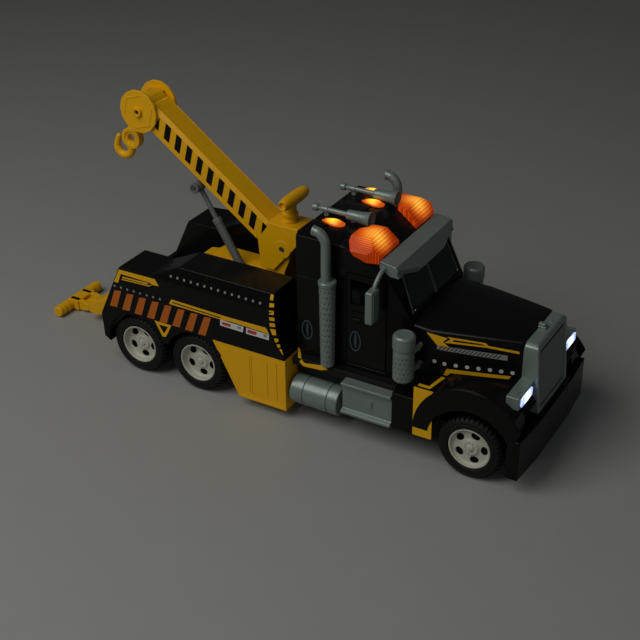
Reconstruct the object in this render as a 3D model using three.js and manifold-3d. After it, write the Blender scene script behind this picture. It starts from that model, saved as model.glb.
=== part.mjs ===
// Toy tow truck: cab, tandem-axle body, lifting boom with hook, and a folding wheel lift.
// Millimetres, +Z up, +X towards the front bumper, Y = 0 is the plane of symmetry.
// Every X below is measured from the seam between the cab and the sleeper box; the last lines
// shift the whole truck so that the origin lies on the ground under the middle of its box.
import * as THREE from "three";
import { ConvexGeometry } from "three/addons/geometries/ConvexGeometry.js";
import { mergeVertices } from "three/addons/utils/BufferGeometryUtils.js";
import Module from "manifold-3d";

const wasm = await Module();
wasm.setup();

// ---------------------------------------------------------------- driving dimensions
const GAP = 0.3;                  // clearance between neighbouring pieces
const WALL = 2.5;                 // moulded wall thickness
const NEAR = -1;                  // right-hand side of the truck, -Y
const FAR = 1;                    // left-hand side of the truck, +Y

const TYRE_R = 33;
const TYRE_W = 25;
const TYRE_Y = 70.3;              // middle of the tread
const RIM_R = 21.5;
const BEAD_GAP = 0.5;             // between the faceted rim and tyre bead
const AXLE_R = 2.8;
const AXLE_Z = TYRE_R;
const AXLES = { front: 150, middle: -158.6, rear: -234.3 };

const BODY_HALF = 85;             // half the width over the rear body and bumper
const CAB_HALF = 64;
const CAB_BOTTOM = 72;
const SLEEPER_BACK = -47;
const CAB_FRONT = 73;
const ROOF_Z = 209;
const EAVES_Z = 201;
const ROOF_EDGE_Y = 50;

const WELL_HALF = 39.4;           // half the gap between the two rear pods
const POD_TOP = 124;
const HUMP_TOP = 140;
const POD_FRONT = -63.3;
const POD_BACK = -280;
const ARCH_R = 37;                // rear wheel arches

const HOOD_FRONT = 178.6;
const FENDER_HALF = 84;
const FRONT_ARCH_R = 42;
const FENDER_R = 59;
const BUMPER_FRONT = 203.5;
const BUMPER_LOW = 16;
const BUMPER_HIGH = 59;

const PIVOT = { x: -93.5, z: 152 };             // boom hinge, axis along Y
const BOOM_ANGLE = 36.6 * Math.PI / 180;        // boom above the horizontal at rest
const BOOM_HALF = 15.4;
const BOOM_TOP = 11.6;                          // above and below the line through the hinge
const BOOM_BOTTOM = -13;
const BOOM_CHAMFER = 3.3;         // along both top edges
const REEL = { u: 204.5, v: -5.6 };             // winch reel axis, along and across the boom
const REEL_R = 23;
const HOOK_PIN = { x: -275.5, z: 260 };
const LIFT_PIN = { u: 109.6, v: -23.8 };
const LIFT_FOOT = { x: -131, z: 88 };
const LIFT_Y = -9.5;
const BARREL_LENGTH = 90;

const STINGER_PIVOT = { x: -281, z: 34 };
const TOW_BAR = { x: -388.5, z: 7 };
const TOW_HINGE = { x: -368, z: 8.5 };

// ---------------------------------------------------------------- materials
const plastic = (color, roughness, metalness = 0) =>
  new THREE.MeshStandardMaterial({ color, roughness, metalness });
const BLACK = plastic(0x17181a, 0.32);
const YELLOW = plastic(0xf4bd10, 0.4);
const SILVER = plastic(0x8f989b, 0.38, 0.35);
const TYRE = plastic(0x1c1c1d, 0.75);
const CREAM = plastic(0xcfcdbf, 0.5);
const AMBER = plastic(0xff8412, 0.2);
const CLEAR = plastic(0xf1f5ff, 0.15);
const DARK_GLASS = plastic(0x101418, 0.12);
const STEEL = plastic(0x9a9d9e, 0.3, 0.9);
const GREY = plastic(0x6f7371, 0.4, 0.2);

// ---------------------------------------------------------------- solids
const truck = new THREE.Group();

// A closed geometry as a manifold solid, ready to join and cut.
function solid(geometry) {
  const bare = geometry.clone();
  bare.deleteAttribute("normal");
  bare.deleteAttribute("uv");
  const merged = mergeVertices(bare, 1e-4);
  return new wasm.Manifold(new wasm.Mesh({
    numProp: 3,
    vertProperties: new Float32Array(merged.attributes.position.array),
    triVerts: new Uint32Array(merged.index.array),
  }));
}

// A named piece in the given group.
function piece(name, body, material, group = truck) {
  const mesh = body.getMesh();
  const geometry = new THREE.BufferGeometry();
  geometry.setAttribute("position", new THREE.BufferAttribute(new Float32Array(mesh.vertProperties), 3));
  geometry.setIndex(new THREE.BufferAttribute(new Uint32Array(mesh.triVerts), 1));
  geometry.computeVertexNormals();
  const node = new THREE.Mesh(geometry, material);
  node.name = name;
  group.add(node);
  return node;
}

function box(x0, x1, y0, y1, z0, z1) {
  const geometry = new THREE.BoxGeometry(x1 - x0, y1 - y0, z1 - z0);
  return solid(geometry.translate((x0 + x1) / 2, (y0 + y1) / 2, (z0 + z1) / 2));
}

function shapeOf(points) {
  return new THREE.Shape(points.map(([a, b]) => new THREE.Vector2(a, b)));
}

// A side profile of [x, z] points, from y0 to y1.
function alongY(points, y0, y1) {
  const geometry = new THREE.ExtrudeGeometry(shapeOf(points), { depth: y1 - y0, bevelEnabled: false });
  return solid(geometry.rotateX(Math.PI / 2).translate(0, y1, 0));
}

// A cross-section of [y, z] points, from x0 to x1.
function alongX(points, x0, x1) {
  const geometry = new THREE.ExtrudeGeometry(shapeOf(points), { depth: x1 - x0, bevelEnabled: false });
  const turn = new THREE.Matrix4().makeBasis(
    new THREE.Vector3(0, 1, 0), new THREE.Vector3(0, 0, 1), new THREE.Vector3(1, 0, 0));
  return solid(geometry.applyMatrix4(turn).translate(x0, 0, 0));
}

// A plan of [x, y] points, from z0 to z1.
function alongZ(points, z0, z1) {
  const geometry = new THREE.ExtrudeGeometry(shapeOf(points), { depth: z1 - z0, bevelEnabled: false });
  return solid(geometry.translate(0, 0, z0));
}

// A round bar along Y.
function barY(x, z, radius, y0, y1, segments = 20) {
  const geometry = new THREE.CylinderGeometry(radius, radius, y1 - y0, segments);
  return solid(geometry.translate(x, (y0 + y1) / 2, z));
}

// A solid of revolution from [radius, height] points, standing along +Z.
function turned(points, segments = 20) {
  const profile = points.map(([r, h]) => new THREE.Vector2(r, h));
  if (THREE.ShapeUtils.area(profile) < 0) profile.reverse();
  return solid(new THREE.LatheGeometry(profile, segments).rotateX(Math.PI / 2));
}

// A round tube or rod along a curve.
function rodAlong(curve, radius, steps, sides = 10) {
  const outline = new THREE.Shape().absarc(0, 0, radius, 0, 2 * Math.PI, false);
  const options = { steps, curveSegments: sides / 2, extrudePath: curve, bevelEnabled: false };
  return solid(new THREE.ExtrudeGeometry(outline, options));
}

// [x, z] points on an arc, from angle a0 to a1 in degrees.
function arc(cx, cz, radius, a0, a1, steps) {
  return Array.from({ length: steps + 1 }, (_, i) => {
    const a = (a0 + (a1 - a0) * i / steps) * Math.PI / 180;
    return [cx + radius * Math.cos(a), cz + radius * Math.sin(a)];
  });
}

const union = (...solids) => solids.reduce((a, b) => a.add(b));
const sideName = (side) => (side === NEAR ? "right" : "left");
const forBothSides = (make) => [NEAR, FAR].forEach(make);
const mirrored = (body, side) => (side === FAR ? body : body.mirror([0, 1, 0]));

// ---------------------------------------------------------------- wheels
function makeTyre(name, group) {
  const half = TYRE_W / 2;
  const bore = RIM_R + BEAD_GAP;
  const profile = [
    [bore, -half], [30, -half], [TYRE_R, -half + 4], [TYRE_R, half - 4],
    [30, half], [bore, half], [bore, -half],
  ];
  return piece(name, turned(profile, 24), TYRE, group);
}

function makeRim(name, group) {
  const half = TYRE_W / 2;
  const bore = AXLE_R + GAP;
  const profile = [
    [0, half - 3], [7.5, half - 3], [9, half - 5.5], [18, half - 6.5], [19.6, half - 1],
    [RIM_R, half - 1], [RIM_R, -half + 0.5], [bore, -half + 0.5], [bore, half - 8], [0, half - 8],
  ];
  return piece(name, turned(profile, 18), CREAM, group);
}

function makeWheelset(where, x) {
  const group = new THREE.Group();
  group.position.set(x, 0, AXLE_Z);
  const reach = TYRE_Y + TYRE_W / 2 - 8 - GAP;
  piece(`${where}_axle`, barY(0, 0, AXLE_R, -reach, reach, 12), STEEL, group);
  forBothSides((side) => {
    const wheel = new THREE.Group();
    wheel.position.y = side * TYRE_Y;
    wheel.rotation.x = -side * Math.PI / 2;
    makeTyre(`${where}_${sideName(side)}_tyre`, wheel);
    makeRim(`${where}_${sideName(side)}_rim`, wheel);
    group.add(wheel);
  });
  truck.add(group);
}

// ---------------------------------------------------------------- chassis and bumper
const CHASSIS_TOP = 28;
const PLATE = 3;                  // floor plates
const DECK_TOP = 66;
const LEDGE_HALF = 53.4;          // the deck reaches under the pods to here
const SILL = { x0: -46.5, x1: 68, low: 48 };         // side panel below the cab and sleeper
const STEP = { y: 74, low: 62.5 };                   // running board along the sill
const TOOL_BOX = { x0: 14, x1: 68.3, top: 66 };
const TANK = { x0: -45.5, y: 69.7, z: 33.3, r: 15.3 };

function makeChassis() {
  let frame = box(-268, 184, -44, 44, 20, CHASSIS_TOP);
  // Trays between the bearing blocks keep the plate thin inside its rim.
  for (const [x0, x1] of [[-222, -171], [-146, -64], [94, 138]]) {
    frame = frame.subtract(box(x0, x1, -41, 41, 20 + PLATE, 40));
  }
  for (const x of Object.values(AXLES)) {
    frame = frame.add(box(x - 9, x + 9, -52, 52, 20, 42));
  }
  // Carriers stand on the tray under the cab, hood, grille, bumper and deck.
  frame = union(
    frame,
    box(-44, 66, -40, 40, CHASSIS_TOP - 1, 71),
    box(-46, SILL.x1, -63, 63, CAB_BOTTOM - GAP - 2.2, CAB_BOTTOM - GAP),
    box(-40, 4, -TANK.y + TANK.r + GAP, TANK.y - TANK.r - GAP, 30, 37),
    box(20, 62, -CAB_HALF, CAB_HALF, SILL.low, SILL.low + 4),
    box(84, 90, -52, 52, 20, 61.7),
    box(171, 176, -36.5, 36.5, 20, 61.7),
    box(180, 199.7, -30, 30, 22, 61.7),
    box(-262, -258, -38, 38, CHASSIS_TOP - 1, DECK_TOP - PLATE - GAP),
    box(-60, -56, -38, 38, 20, DECK_TOP - PLATE - GAP),
  );
  forBothSides((side) => {
    const ear = box(STINGER_PIVOT.x - 7, -262, 27, 33, 20, 42);
    const sill = box(SILL.x0, SILL.x1, CAB_HALF - WALL, CAB_HALF, SILL.low, CAB_BOTTOM - GAP);
    const board = box(SILL.x0, SILL.x1, CAB_HALF - 1, STEP.y, TOOL_BOX.top + GAP, CAB_BOTTOM - GAP);
    const valance = box(SILL.x0, TOOL_BOX.x0 - GAP, CAB_HALF - 1, STEP.y, STEP.low, CAB_BOTTOM - 1);
    frame = union(frame, ...[ear, sill, board, valance].map((body) => mirrored(body, side)));
  });
  // Battery compartment, open below, and the axle and hinge bores.
  frame = frame.subtract(box(-30, 52, -33, 33, 10, 62));
  frame = frame.subtract(box(-41, 63, -37, 37, 20 + PLATE, 67));
  for (const x of Object.values(AXLES)) {
    frame = frame.subtract(barY(x, AXLE_Z, AXLE_R + GAP, -60, 60, 12));
  }
  frame = frame.subtract(barY(STINGER_PIVOT.x, STINGER_PIVOT.z, 3.1, -40, 40, 12));
  piece("chassis", frame, BLACK);

  piece("battery_cover", box(-29.5, 51.5, -32.5, 32.5, 20.5, 23), BLACK);
  piece("sound_and_light_unit", box(-22, 38, -22, 22, 46, 66.7), GREY);
}

function makeBumper() {
  const inset = 3;
  const plan = [
    [188, -BODY_HALF], [200.5, -BODY_HALF], [BUMPER_FRONT, -40], [BUMPER_FRONT, 40],
    [200.5, BODY_HALF], [188, BODY_HALF], [188, BODY_HALF - inset], [197.8, BODY_HALF - inset],
    [200, 40], [200, -40], [197.8, -BODY_HALF + inset], [188, -BODY_HALF + inset],
  ];
  let bumper = alongZ(plan, BUMPER_LOW, BUMPER_HIGH);
  // A flange reaches back under each fender.
  forBothSides((side) => {
    const flange = box(184, 199, 31, BODY_HALF - inset, BUMPER_HIGH - PLATE, BUMPER_HIGH);
    bumper = bumper.add(mirrored(flange, side));
  });
  piece("bumper", bumper, BLACK);
}

// ---------------------------------------------------------------- cab, sleeper, hood
const roofSection = (inset, low) => [
  [-CAB_HALF + inset, low], [CAB_HALF - inset, low], [CAB_HALF - inset, EAVES_Z - inset],
  [ROOF_EDGE_Y - inset, ROOF_Z - inset], [-ROOF_EDGE_Y + inset, ROOF_Z - inset],
  [-CAB_HALF + inset, EAVES_Z - inset],
];

// Corners of the cab on one side, [x, y, z]: roof edge, eaves, and the walls below.
const CAB_CORNERS = [
  [0, 50, 209], [8, 50, 209], [20, 50, 203.5], [41, 49.5, 192.5], [56, 49, 184.5],
  [0, 64, 201], [8, 64, 200], [41, 63.5, 183], [52, 62.5, 177.5],
  [52, 64, 136], [75.5, 57, 136],
  [0, 64, CAB_BOTTOM], [52, 64, CAB_BOTTOM], [73, 57, CAB_BOTTOM],
];

// The cab's outer shape, shrunk on all sides by the inset.
function cabHull(inset, low) {
  const points = [];
  for (const [x, y, z] of CAB_CORNERS) {
    const px = x > 50 ? x - inset : Math.max(x, inset);
    const pz = z === CAB_BOTTOM ? low : z - inset;
    const py = y - inset;
    points.push(new THREE.Vector3(px, py, pz), new THREE.Vector3(px, -py, pz));
  }
  return solid(new ConvexGeometry(points));
}

const DOOR = { x0: 8.5, x1: 51.5, z0: 76, z1: 176 };

function makeCab() {
  let shell = cabHull(0, CAB_BOTTOM).subtract(cabHull(WALL, CAB_BOTTOM - 1));
  shell = shell.subtract(box(DOOR.x0, DOOR.x1, -70, 70, DOOR.z0, DOOR.z1));
  // Windshield opening in the sloping front, from the cowl up to the header.
  shell = shell.subtract(alongX([[-52.5, 140], [52.5, 140], [48.5, 181], [-48.5, 181]], 52, 90));
  piece("cab_shell", shell, BLACK);

  const floor = CAB_BOTTOM;
  const seat = union(
    box(14, 40, -50, 50, floor, 106),
    box(6, 15, -50, 50, floor, 148),
    box(39, 62, -50, 50, floor, floor + PLATE),
    box(58, 68, -50, 50, floor, 132),
  ).subtract(box(16, 38, -48, 48, floor - 1, 103)).subtract(box(61, 69, -47, 47, floor + PLATE, 129));
  piece("cab_interior", seat, GREY);
  piece("windshield", windshieldPane(), DARK_GLASS);
}

// The pane lies in the sloping opening, clear of its frame.
function windshieldPane() {
  const slope = [[71.7, 140.8], [72.7, 140.8], [56.8, 180.4], [55.8, 180.4]];
  const outline = [[-52, 139], [52, 139], [48, 182], [-48, 182]];
  return alongY(slope, -60, 60).intersect(alongX(outline, 50, 90));
}

function makeDoor(side) {
  const clear = 0.5;
  const outline = [
    [DOOR.x0 + clear, DOOR.z0 + clear], [DOOR.x1 - clear, DOOR.z0 + clear],
    [DOOR.x1 - clear, DOOR.z1 - clear], [DOOR.x0 + clear, DOOR.z1 - clear],
  ];
  let door = alongY(outline, CAB_HALF - WALL + 0.2, CAB_HALF);
  door = door.subtract(alongY([[13, 143], [38, 145], [42, 170], [13, 170]], 50, 70));
  // Finger recess near the rear edge.
  door = door.subtract(barY(19, 104, 4, CAB_HALF - 1, CAB_HALF + 1, 14));
  piece(`${sideName(side)}_door`, mirrored(door, side), BLACK);
}

function makeSleeper() {
  const back = SLEEPER_BACK;
  const outside = alongX(roofSection(0, CAB_BOTTOM), back, -GAP);
  const inside = alongX(roofSection(WALL, CAB_BOTTOM - 1), back + WALL, 1);
  const chamfer = alongY([[back - 1, ROOF_Z - 7], [back + 7, ROOF_Z + 1], [back - 1, ROOF_Z + 1]], -70, 70);
  piece("sleeper_shell", outside.subtract(inside).subtract(chamfer), BLACK);
}

const FENDER_CENTRE = { x: 150, z: 40 };
const GUTTER_EDGE = 60;           // the gutter beside the hood ends here
const GUTTER_ANGLE = 57;          // where its floor meets the fender arc
const GRILLE_HALF = 36.8;
const LAMP = { outer: 73, low: 84.5, high: 97.5 };   // headlight housing

// Cross-sections of the hood: [x, half width, edge height, crown height].
const HOOD_STATIONS = [
  [76, 56.5, 134.5, 141], [92, 55, 132, 140.8], [110, 52.5, 133, 140], [150, 43.5, 133.8, 138],
  [178.6, 36.5, 134.4, 136.5],
];
const HOOD_EDGE = 3.4;            // chamfer between the top and the sides

// The hood above the fenders, shrunk on all sides by the inset.
function hoodHull(inset, low) {
  const sections = HOOD_STATIONS.map(([x, half, edge, crown]) => {
    const corners = [
      [0, crown], [half * 0.6, crown - 1.6], [half - HOOD_EDGE, edge], [half, edge - HOOD_EDGE],
      [half, low + inset],
    ];
    return corners.flatMap(([y, z]) => [NEAR, FAR].map((side) =>
      new THREE.Vector3(x, side * Math.max(y - inset, 0), z - inset)));
  });
  const bays = sections.slice(1).map(
    (section, i) => solid(new ConvexGeometry([...sections[i], ...section])));
  return union(...bays);
}

function makeHood() {
  let hood = hoodHull(0, 62);
  for (const s of [NEAR, FAR]) {
    // A gutter with a flat floor lies between the hood side and the crest of the fender.
    const gutter = [
      ...arc(FENDER_CENTRE.x, FENDER_CENTRE.z, FENDER_R, 38, GUTTER_ANGLE, 4),
      ...arc(FENDER_CENTRE.x, FENDER_CENTRE.z, FENDER_R, 180 - GUTTER_ANGLE, 142, 4),
    ];
    const shelf = alongY([[190, 62], ...gutter, [100, 62]], 30, GUTTER_EDGE + 1);
    const outer = arc(FENDER_CENTRE.x, FENDER_CENTRE.z, FENDER_R, 22, 176, 22);
    const face = alongY([[196, 60.4], ...outer.slice(3), [91.5, 32], [110, 32], [110, 60.4]],
      GUTTER_EDGE, FENDER_HALF);
    const block = alongY([[69, 31], [112, 31], [112, 86], [91.6, 86], [91.6, 71.4], [69, 71.4]],
      56, FENDER_HALF);
    hood = union(hood, mirrored(shelf, s), mirrored(face, s), mirrored(block, s));
    hood = hood.subtract(mirrored(barY(AXLES.front, AXLE_Z, FRONT_ARCH_R, 48.9, 90, 36), s));
  }
  // Seats for the grille and the headlight housings.
  const seat = HOOD_FRONT;
  hood = hood.subtract(box(seat, 210, -GRILLE_HALF - GAP, GRILLE_HALF + GAP, 60, 145));
  hood = hood.subtract(box(seat, 210, -LAMP.outer - GAP, LAMP.outer + GAP, LAMP.low - GAP, 145));
  // Hollow from below: the engine bay between the wheel housings, and the rear blocks.
  hood = hood.subtract(hoodHull(WALL + 0.5, 50).intersect(box(79, 176, -46, 46, 40, 145)));
  const pocket = alongY(
    [[71.5, 28], [109.5, 28], [109.5, 60], [100, 83], [94, 83], [94, 68.5], [71.5, 68.5]],
    58.5, FENDER_HALF - WALL);
  forBothSides((s) => {
    hood = hood.subtract(mirrored(pocket, s));
  });
  piece("hood", hood, BLACK);
}

// ---------------------------------------------------------------- grille and headlights
function makeGrille() {
  const back = HOOD_FRONT + GAP;
  const side = [[back, 62], [199, 62], [193.2, 131], [190.5, 133.5], [back, 133.5]];
  const section = [
    [-GRILLE_HALF, 62], [GRILLE_HALF, 62], [GRILLE_HALF, 127],
    [31, 133.5], [-31, 133.5], [-GRILLE_HALF, 127],
  ];
  let frame = alongY(side, -GRILLE_HALF, GRILLE_HALF).intersect(alongX(section, 170, 210));
  const pocket = alongY([[210, 66], [195.2, 66], [190.2, 126.5], [210, 126.5]], -31.5, 31.5);
  frame = frame.subtract(alongY([[170, 66], [192.5, 66], [187.5, 126.5], [170, 126.5]], -31.5, 31.5));
  frame = frame.subtract(pocket);
  forBothSides((side2) => {
    frame = frame.add(mirrored(box(back, 192, 30, LAMP.outer, LAMP.low, LAMP.high), side2));
  });
  frame = frame.subtract(pocket);
  // Small ornament on the top edge.
  frame = frame.add(box(back, 187, -3.6, 3.6, 133, 138));
  piece("grille_frame", frame, SILVER);

  let bars = alongY([[195.6, 66.4], [197, 66.4], [192.1, 126.1], [190.7, 126.1]], -31.1, 31.1);
  const pitch = 62.2 / 12;
  for (let i = 0; i < 12; i += 1) {
    const y = -31.1 + pitch * (i + 0.25);
    bars = bars.add(alongY([[196.8, 67.5], [197.8, 67.5], [193.1, 125], [191.9, 125]], y, y + pitch / 2));
  }
  piece("grille_bars", bars, SILVER);

  forBothSides((side2) => {
    const lens = box(192 + GAP, 194, 41, 71.5, 85.3, 96.8);
    piece(`${sideName(side2)}_headlight_lens`, mirrored(lens, side2), CLEAR);
  });
}

// ---------------------------------------------------------------- roof gear
function makeVisor() {
  const top = 193.5;
  let visor = alongY([
    [40.5, top - 1.5], [42, top], [58.5, 191], [67.5, 177],
    [66, 174.5], [64.2, 177], [57.5, 187.6], [40.5, 191.8],
  ], -60, 60);
  // Swept back towards its ends, with its underside following the roof.
  const sweep = [[38, -60], [60, -60], [69, -12], [69, 12], [60, 60], [38, 60]];
  visor = visor.intersect(alongZ(sweep, 170, 200));
  const cheek = alongY([[41, 180], [41, 192], [58.5, 188], [61.5, 179.5]], 49, 60);
  forBothSides((side) => {
    visor = visor.add(mirrored(cheek, side));
  });
  visor = visor.subtract(cabHull(-GAP, CAB_BOTTOM));
  forBothSides((side) => {
    const arm = rodAlong(new THREE.CatmullRomCurve3([
      new THREE.Vector3(46, 58.5, 188.2), new THREE.Vector3(45.5, 66, 184.5),
      new THREE.Vector3(44.8, 74, 177.5), new THREE.Vector3(44.2, 78, 169),
    ]), 2.3, 8, 8);
    const mirror = box(40, 48.3, 72, 87, 139.5, 173.5);
    visor = union(visor, mirrored(arm, side), mirrored(mirror, side));
  });
  piece("sun_visor", visor, SILVER);
}

function makeBeacon(side) {
  // A wedge-topped lens that sits on the roof's front slope.
  const profile = [[6, 206], [7, 209.8], [14, 212.6], [27, 212], [40.2, 197], [40.2, 188], [16, 195.5]];
  const plan = [[7, 37], [15.4, 36], [15.8, 25], [40.2, 18], [40.2, 57], [30, 66], [13, 66], [7, 57]];
  const crown = [[17, 180], [66, 180], [66, 200], [52, 210.5], [34, 214], [20, 209], [17, 204]];
  const body = alongY(profile, 10, 70)
    .intersect(alongZ(plan, 180, 220))
    .intersect(alongX(crown, 0, 45))
    .subtract(cabHull(-GAP, CAB_BOTTOM));
  piece(`${sideName(side)}_beacon`, mirrored(body, side), AMBER);
}

function makeMarkerLights() {
  // One amber strip with four raised oval lenses, clipped on the roof.
  const low = ROOF_Z + GAP;
  let strip = alongZ([
    [-27, -47], [-23, -47], [-6, -16], [-6, 16], [-23, 47], [-27, 47], [-12, 16], [-12, -16],
  ], low, low + 0.8);
  for (const [x, y] of [[-19.4, -40], [-7, -17], [-7, 17], [-19.4, 40]]) {
    const oval = new THREE.Shape().absellipse(0, 0, 12.5, 5.8, 0, 2 * Math.PI, false, 0);
    const options = { depth: 2.4, bevelEnabled: true, bevelThickness: 1, bevelSize: 1.2, bevelOffset: -1.2,
      bevelSegments: 1, curveSegments: 6 };
    strip = strip.add(solid(new THREE.ExtrudeGeometry(oval, options).translate(x, y, low + 1)));
  }
  piece("marker_lights", strip, AMBER);
}

function makeHorn(side) {
  const profile = [
    [0, 0], [3.6, 0], [3.6, 5.5], [1.9, 6.5], [1.9, 9], [2.6, 10], [2.6, 37.5], [5, 38.5],
    [5.6, 50], [6.4, 57], [8, 63.5], [6.8, 63.5], [4.5, 55], [0, 52],
  ];
  const tube = turned(profile, 14).rotate([0, 90, 0]).translate([-48.6, 27.3, 215.8]);
  let horn = tube;
  for (const x of [-33.5, -4]) {
    horn = horn.add(box(x - 2.2, x + 2.2, 25.3, 29.3, ROOF_Z + GAP, 215));
  }
  piece(`${sideName(side)}_horn`, mirrored(horn, side), SILVER);
}

function makeStack(side) {
  const x = -8.6;
  const y = 73.4;
  const path = new THREE.CurvePath();
  path.add(new THREE.LineCurve3(new THREE.Vector3(x, y, 150), new THREE.Vector3(x, y, 205)));
  path.add(new THREE.QuadraticBezierCurve3(
    new THREE.Vector3(x, y, 205), new THREE.Vector3(x, y, 217), new THREE.Vector3(x - 13, y, 216)));
  const pipe = rodAlong(path, 4.9, 14, 12);
  // The perforated sleeve widens a little towards its collar.
  const sleeve = turned([[0, 74], [7, 74], [8.2, 163], [8.9, 163.4], [8.9, 167], [0, 167]], 16)
    .translate([x + 1.6, y, 0]);
  const clamps = [92, 142].map((z) => box(x - 1.4, x + 4.6, CAB_HALF + GAP, y - 5, z, z + 5));
  piece(`${sideName(side)}_exhaust_stack`, mirrored(union(pipe, sleeve, ...clamps), side), SILVER);
}

function makeAirCleaner(side) {
  const can = turned([
    [0, 85.5], [7.5, 85.5], [10.2, 88.5], [10.2, 118], [9.8, 118.5], [9.8, 121],
    [11, 122], [11, 133.3], [9.4, 136], [0, 136],
  ], 20).translate([77.8, 78.7, 0]);
  // Two stub pipes reach in to the hood side.
  const stubs = [115.5, 95.5].map((z) => barY(84.8, z, 2.3, 56.5, 74, 12));
  piece(`${sideName(side)}_air_cleaner`, mirrored(union(can, ...stubs), side), SILVER);
}

// ---------------------------------------------------------------- sides
function makeTank(side) {
  const r = TANK.r;
  const groove = (h) => [[r, h - 0.6], [r - 0.9, h - 0.4], [r - 0.9, h + 0.4], [r, h + 0.6]];
  const profile = [
    [0, 0], [r - 1.5, 0], [r, 1.5], ...groove(15), ...groove(42), [r, 52.8], [r - 1.2, 54], [0, 54],
  ];
  const drum = turned(profile, 22).rotate([0, 90, 0]).translate([TANK.x0, TANK.y, TANK.z]);
  piece(`${sideName(side)}_fuel_tank`, mirrored(drum, side), SILVER);
}

function makeToolBox(side) {
  const { x0, x1, top } = TOOL_BOX;
  const inner = CAB_HALF + GAP;
  const section = [
    [inner, 31], [86, 31], [86, 34], [81.5, 35.5], [81.5, top - 4.5],
    [85.5, top - 3], [85.5, top], [inner, top],
  ];
  const chest = alongX(section, x0, x1)
    .subtract(box(x0 + WALL, x1 - WALL, CAB_HALF, 81.5 - WALL, 31 + WALL, top - WALL));
  piece(`${sideName(side)}_tool_box`, mirrored(chest, side), SILVER);
}

function makeSkirt(side) {
  const outline = [[-135.6, 69.5], [-49, 69.5], [-49, 11], [-105.5, 11]];
  const hollow = [[-133, 72], [-53, 72], [-53, 14], [-103.5, 14]];
  let skirt = alongY(outline, 54, BODY_HALF);
  skirt = skirt.subtract(alongY(hollow, 50, BODY_HALF - WALL));
  piece(`${sideName(side)}_side_skirt`, mirrored(skirt, side), YELLOW);
}

function makePod(side) {
  const outline = [
    [-250, POD_TOP], [POD_BACK, 61], [-278.5, 33], [-271.5, 29], [-50, 29], [-50, 74.5], [-58.2, 98.5],
    [POD_FRONT, HUMP_TOP], [-176, HUMP_TOP], [-210, POD_TOP],
  ];
  let pod = alongY(outline, WELL_HALF, BODY_HALF);
  // The raised panel narrows towards its top.
  pod = pod.subtract(alongX(
    [[BODY_HALF + 1, 119], [BODY_HALF - 6, HUMP_TOP + 1], [BODY_HALF + 1, HUMP_TOP + 1]],
    POD_BACK - 1, -40));
  for (const x of [AXLES.middle, AXLES.rear]) {
    pod = pod.subtract(barY(x, AXLE_Z, ARCH_R, LEDGE_HALF + GAP, BODY_HALF + 1, 36));
  }
  // Web between the arches ends in a blunt tip; the skirt and tray fill the space below the sill.
  pod = pod.subtract(box(-215, -178, WELL_HALF - 1, BODY_HALF + 1, 20, 47));
  const notch = [[-136.5, 69.8], [-40, 69.8], [-40, 20], [-136.5, 20]];
  pod = pod.subtract(alongY(notch, WELL_HALF - 1, BODY_HALF + 1));
  pod = pod.subtract(box(-290, -40, WELL_HALF - 1, LEDGE_HALF + GAP, 20, DECK_TOP + GAP));
  // Hollow inside, open below ahead of the wheels.
  let hollow = alongY([
    [-248, POD_TOP - WALL], [POD_BACK + WALL + 1, 62], [-276, 36], [-252, 36], [-134, 66], [-54, 66],
    [-54, 76], [-61.3, 98], [POD_FRONT - WALL, HUMP_TOP - WALL],
    [-175, HUMP_TOP - WALL], [-209, POD_TOP - WALL],
  ], WELL_HALF + WALL, BODY_HALF - WALL);
  hollow = hollow.subtract(alongX([[BODY_HALF + 1, 112], [BODY_HALF - 10, HUMP_TOP + 1],
    [BODY_HALF + 1, HUMP_TOP + 1]], POD_BACK - 1, -40));
  for (const x of [AXLES.middle, AXLES.rear]) {
    hollow = hollow.subtract(barY(x, AXLE_Z, ARCH_R + WALL, WELL_HALF - 1, BODY_HALF + 1, 36));
  }
  hollow = hollow.subtract(box(-290, -134, WELL_HALF - 1, BODY_HALF + 1, 30, 66));
  hollow = hollow.subtract(
    box(-290, -40, WELL_HALF - 1, LEDGE_HALF + GAP + WALL, 30, DECK_TOP + GAP + WALL));
  pod = pod.subtract(hollow);
  piece(`${sideName(side)}_rear_pod`, mirrored(pod, side), BLACK);
}

function makeDeck() {
  const half = WELL_HALF - GAP;
  const floor = box(-262, SLEEPER_BACK - 4, -LEDGE_HALF, LEDGE_HALF, DECK_TOP - PLATE, DECK_TOP);
  const tailboard = box(-268, -262, -half, half, DECK_TOP - PLATE, 84);
  const bulkhead = box(SLEEPER_BACK - 4, SLEEPER_BACK - GAP, -half, half, DECK_TOP - PLATE, 118);
  piece("rear_deck", union(floor, tailboard, bulkhead), BLACK);
}

// ---------------------------------------------------------------- boom
const along = (u, v) => [
  PIVOT.x - u * Math.cos(BOOM_ANGLE) + v * Math.sin(BOOM_ANGLE),
  PIVOT.z + u * Math.sin(BOOM_ANGLE) + v * Math.cos(BOOM_ANGLE),
];
const boomProfile = (points) => points.map(([u, v]) => along(u, v));

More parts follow.
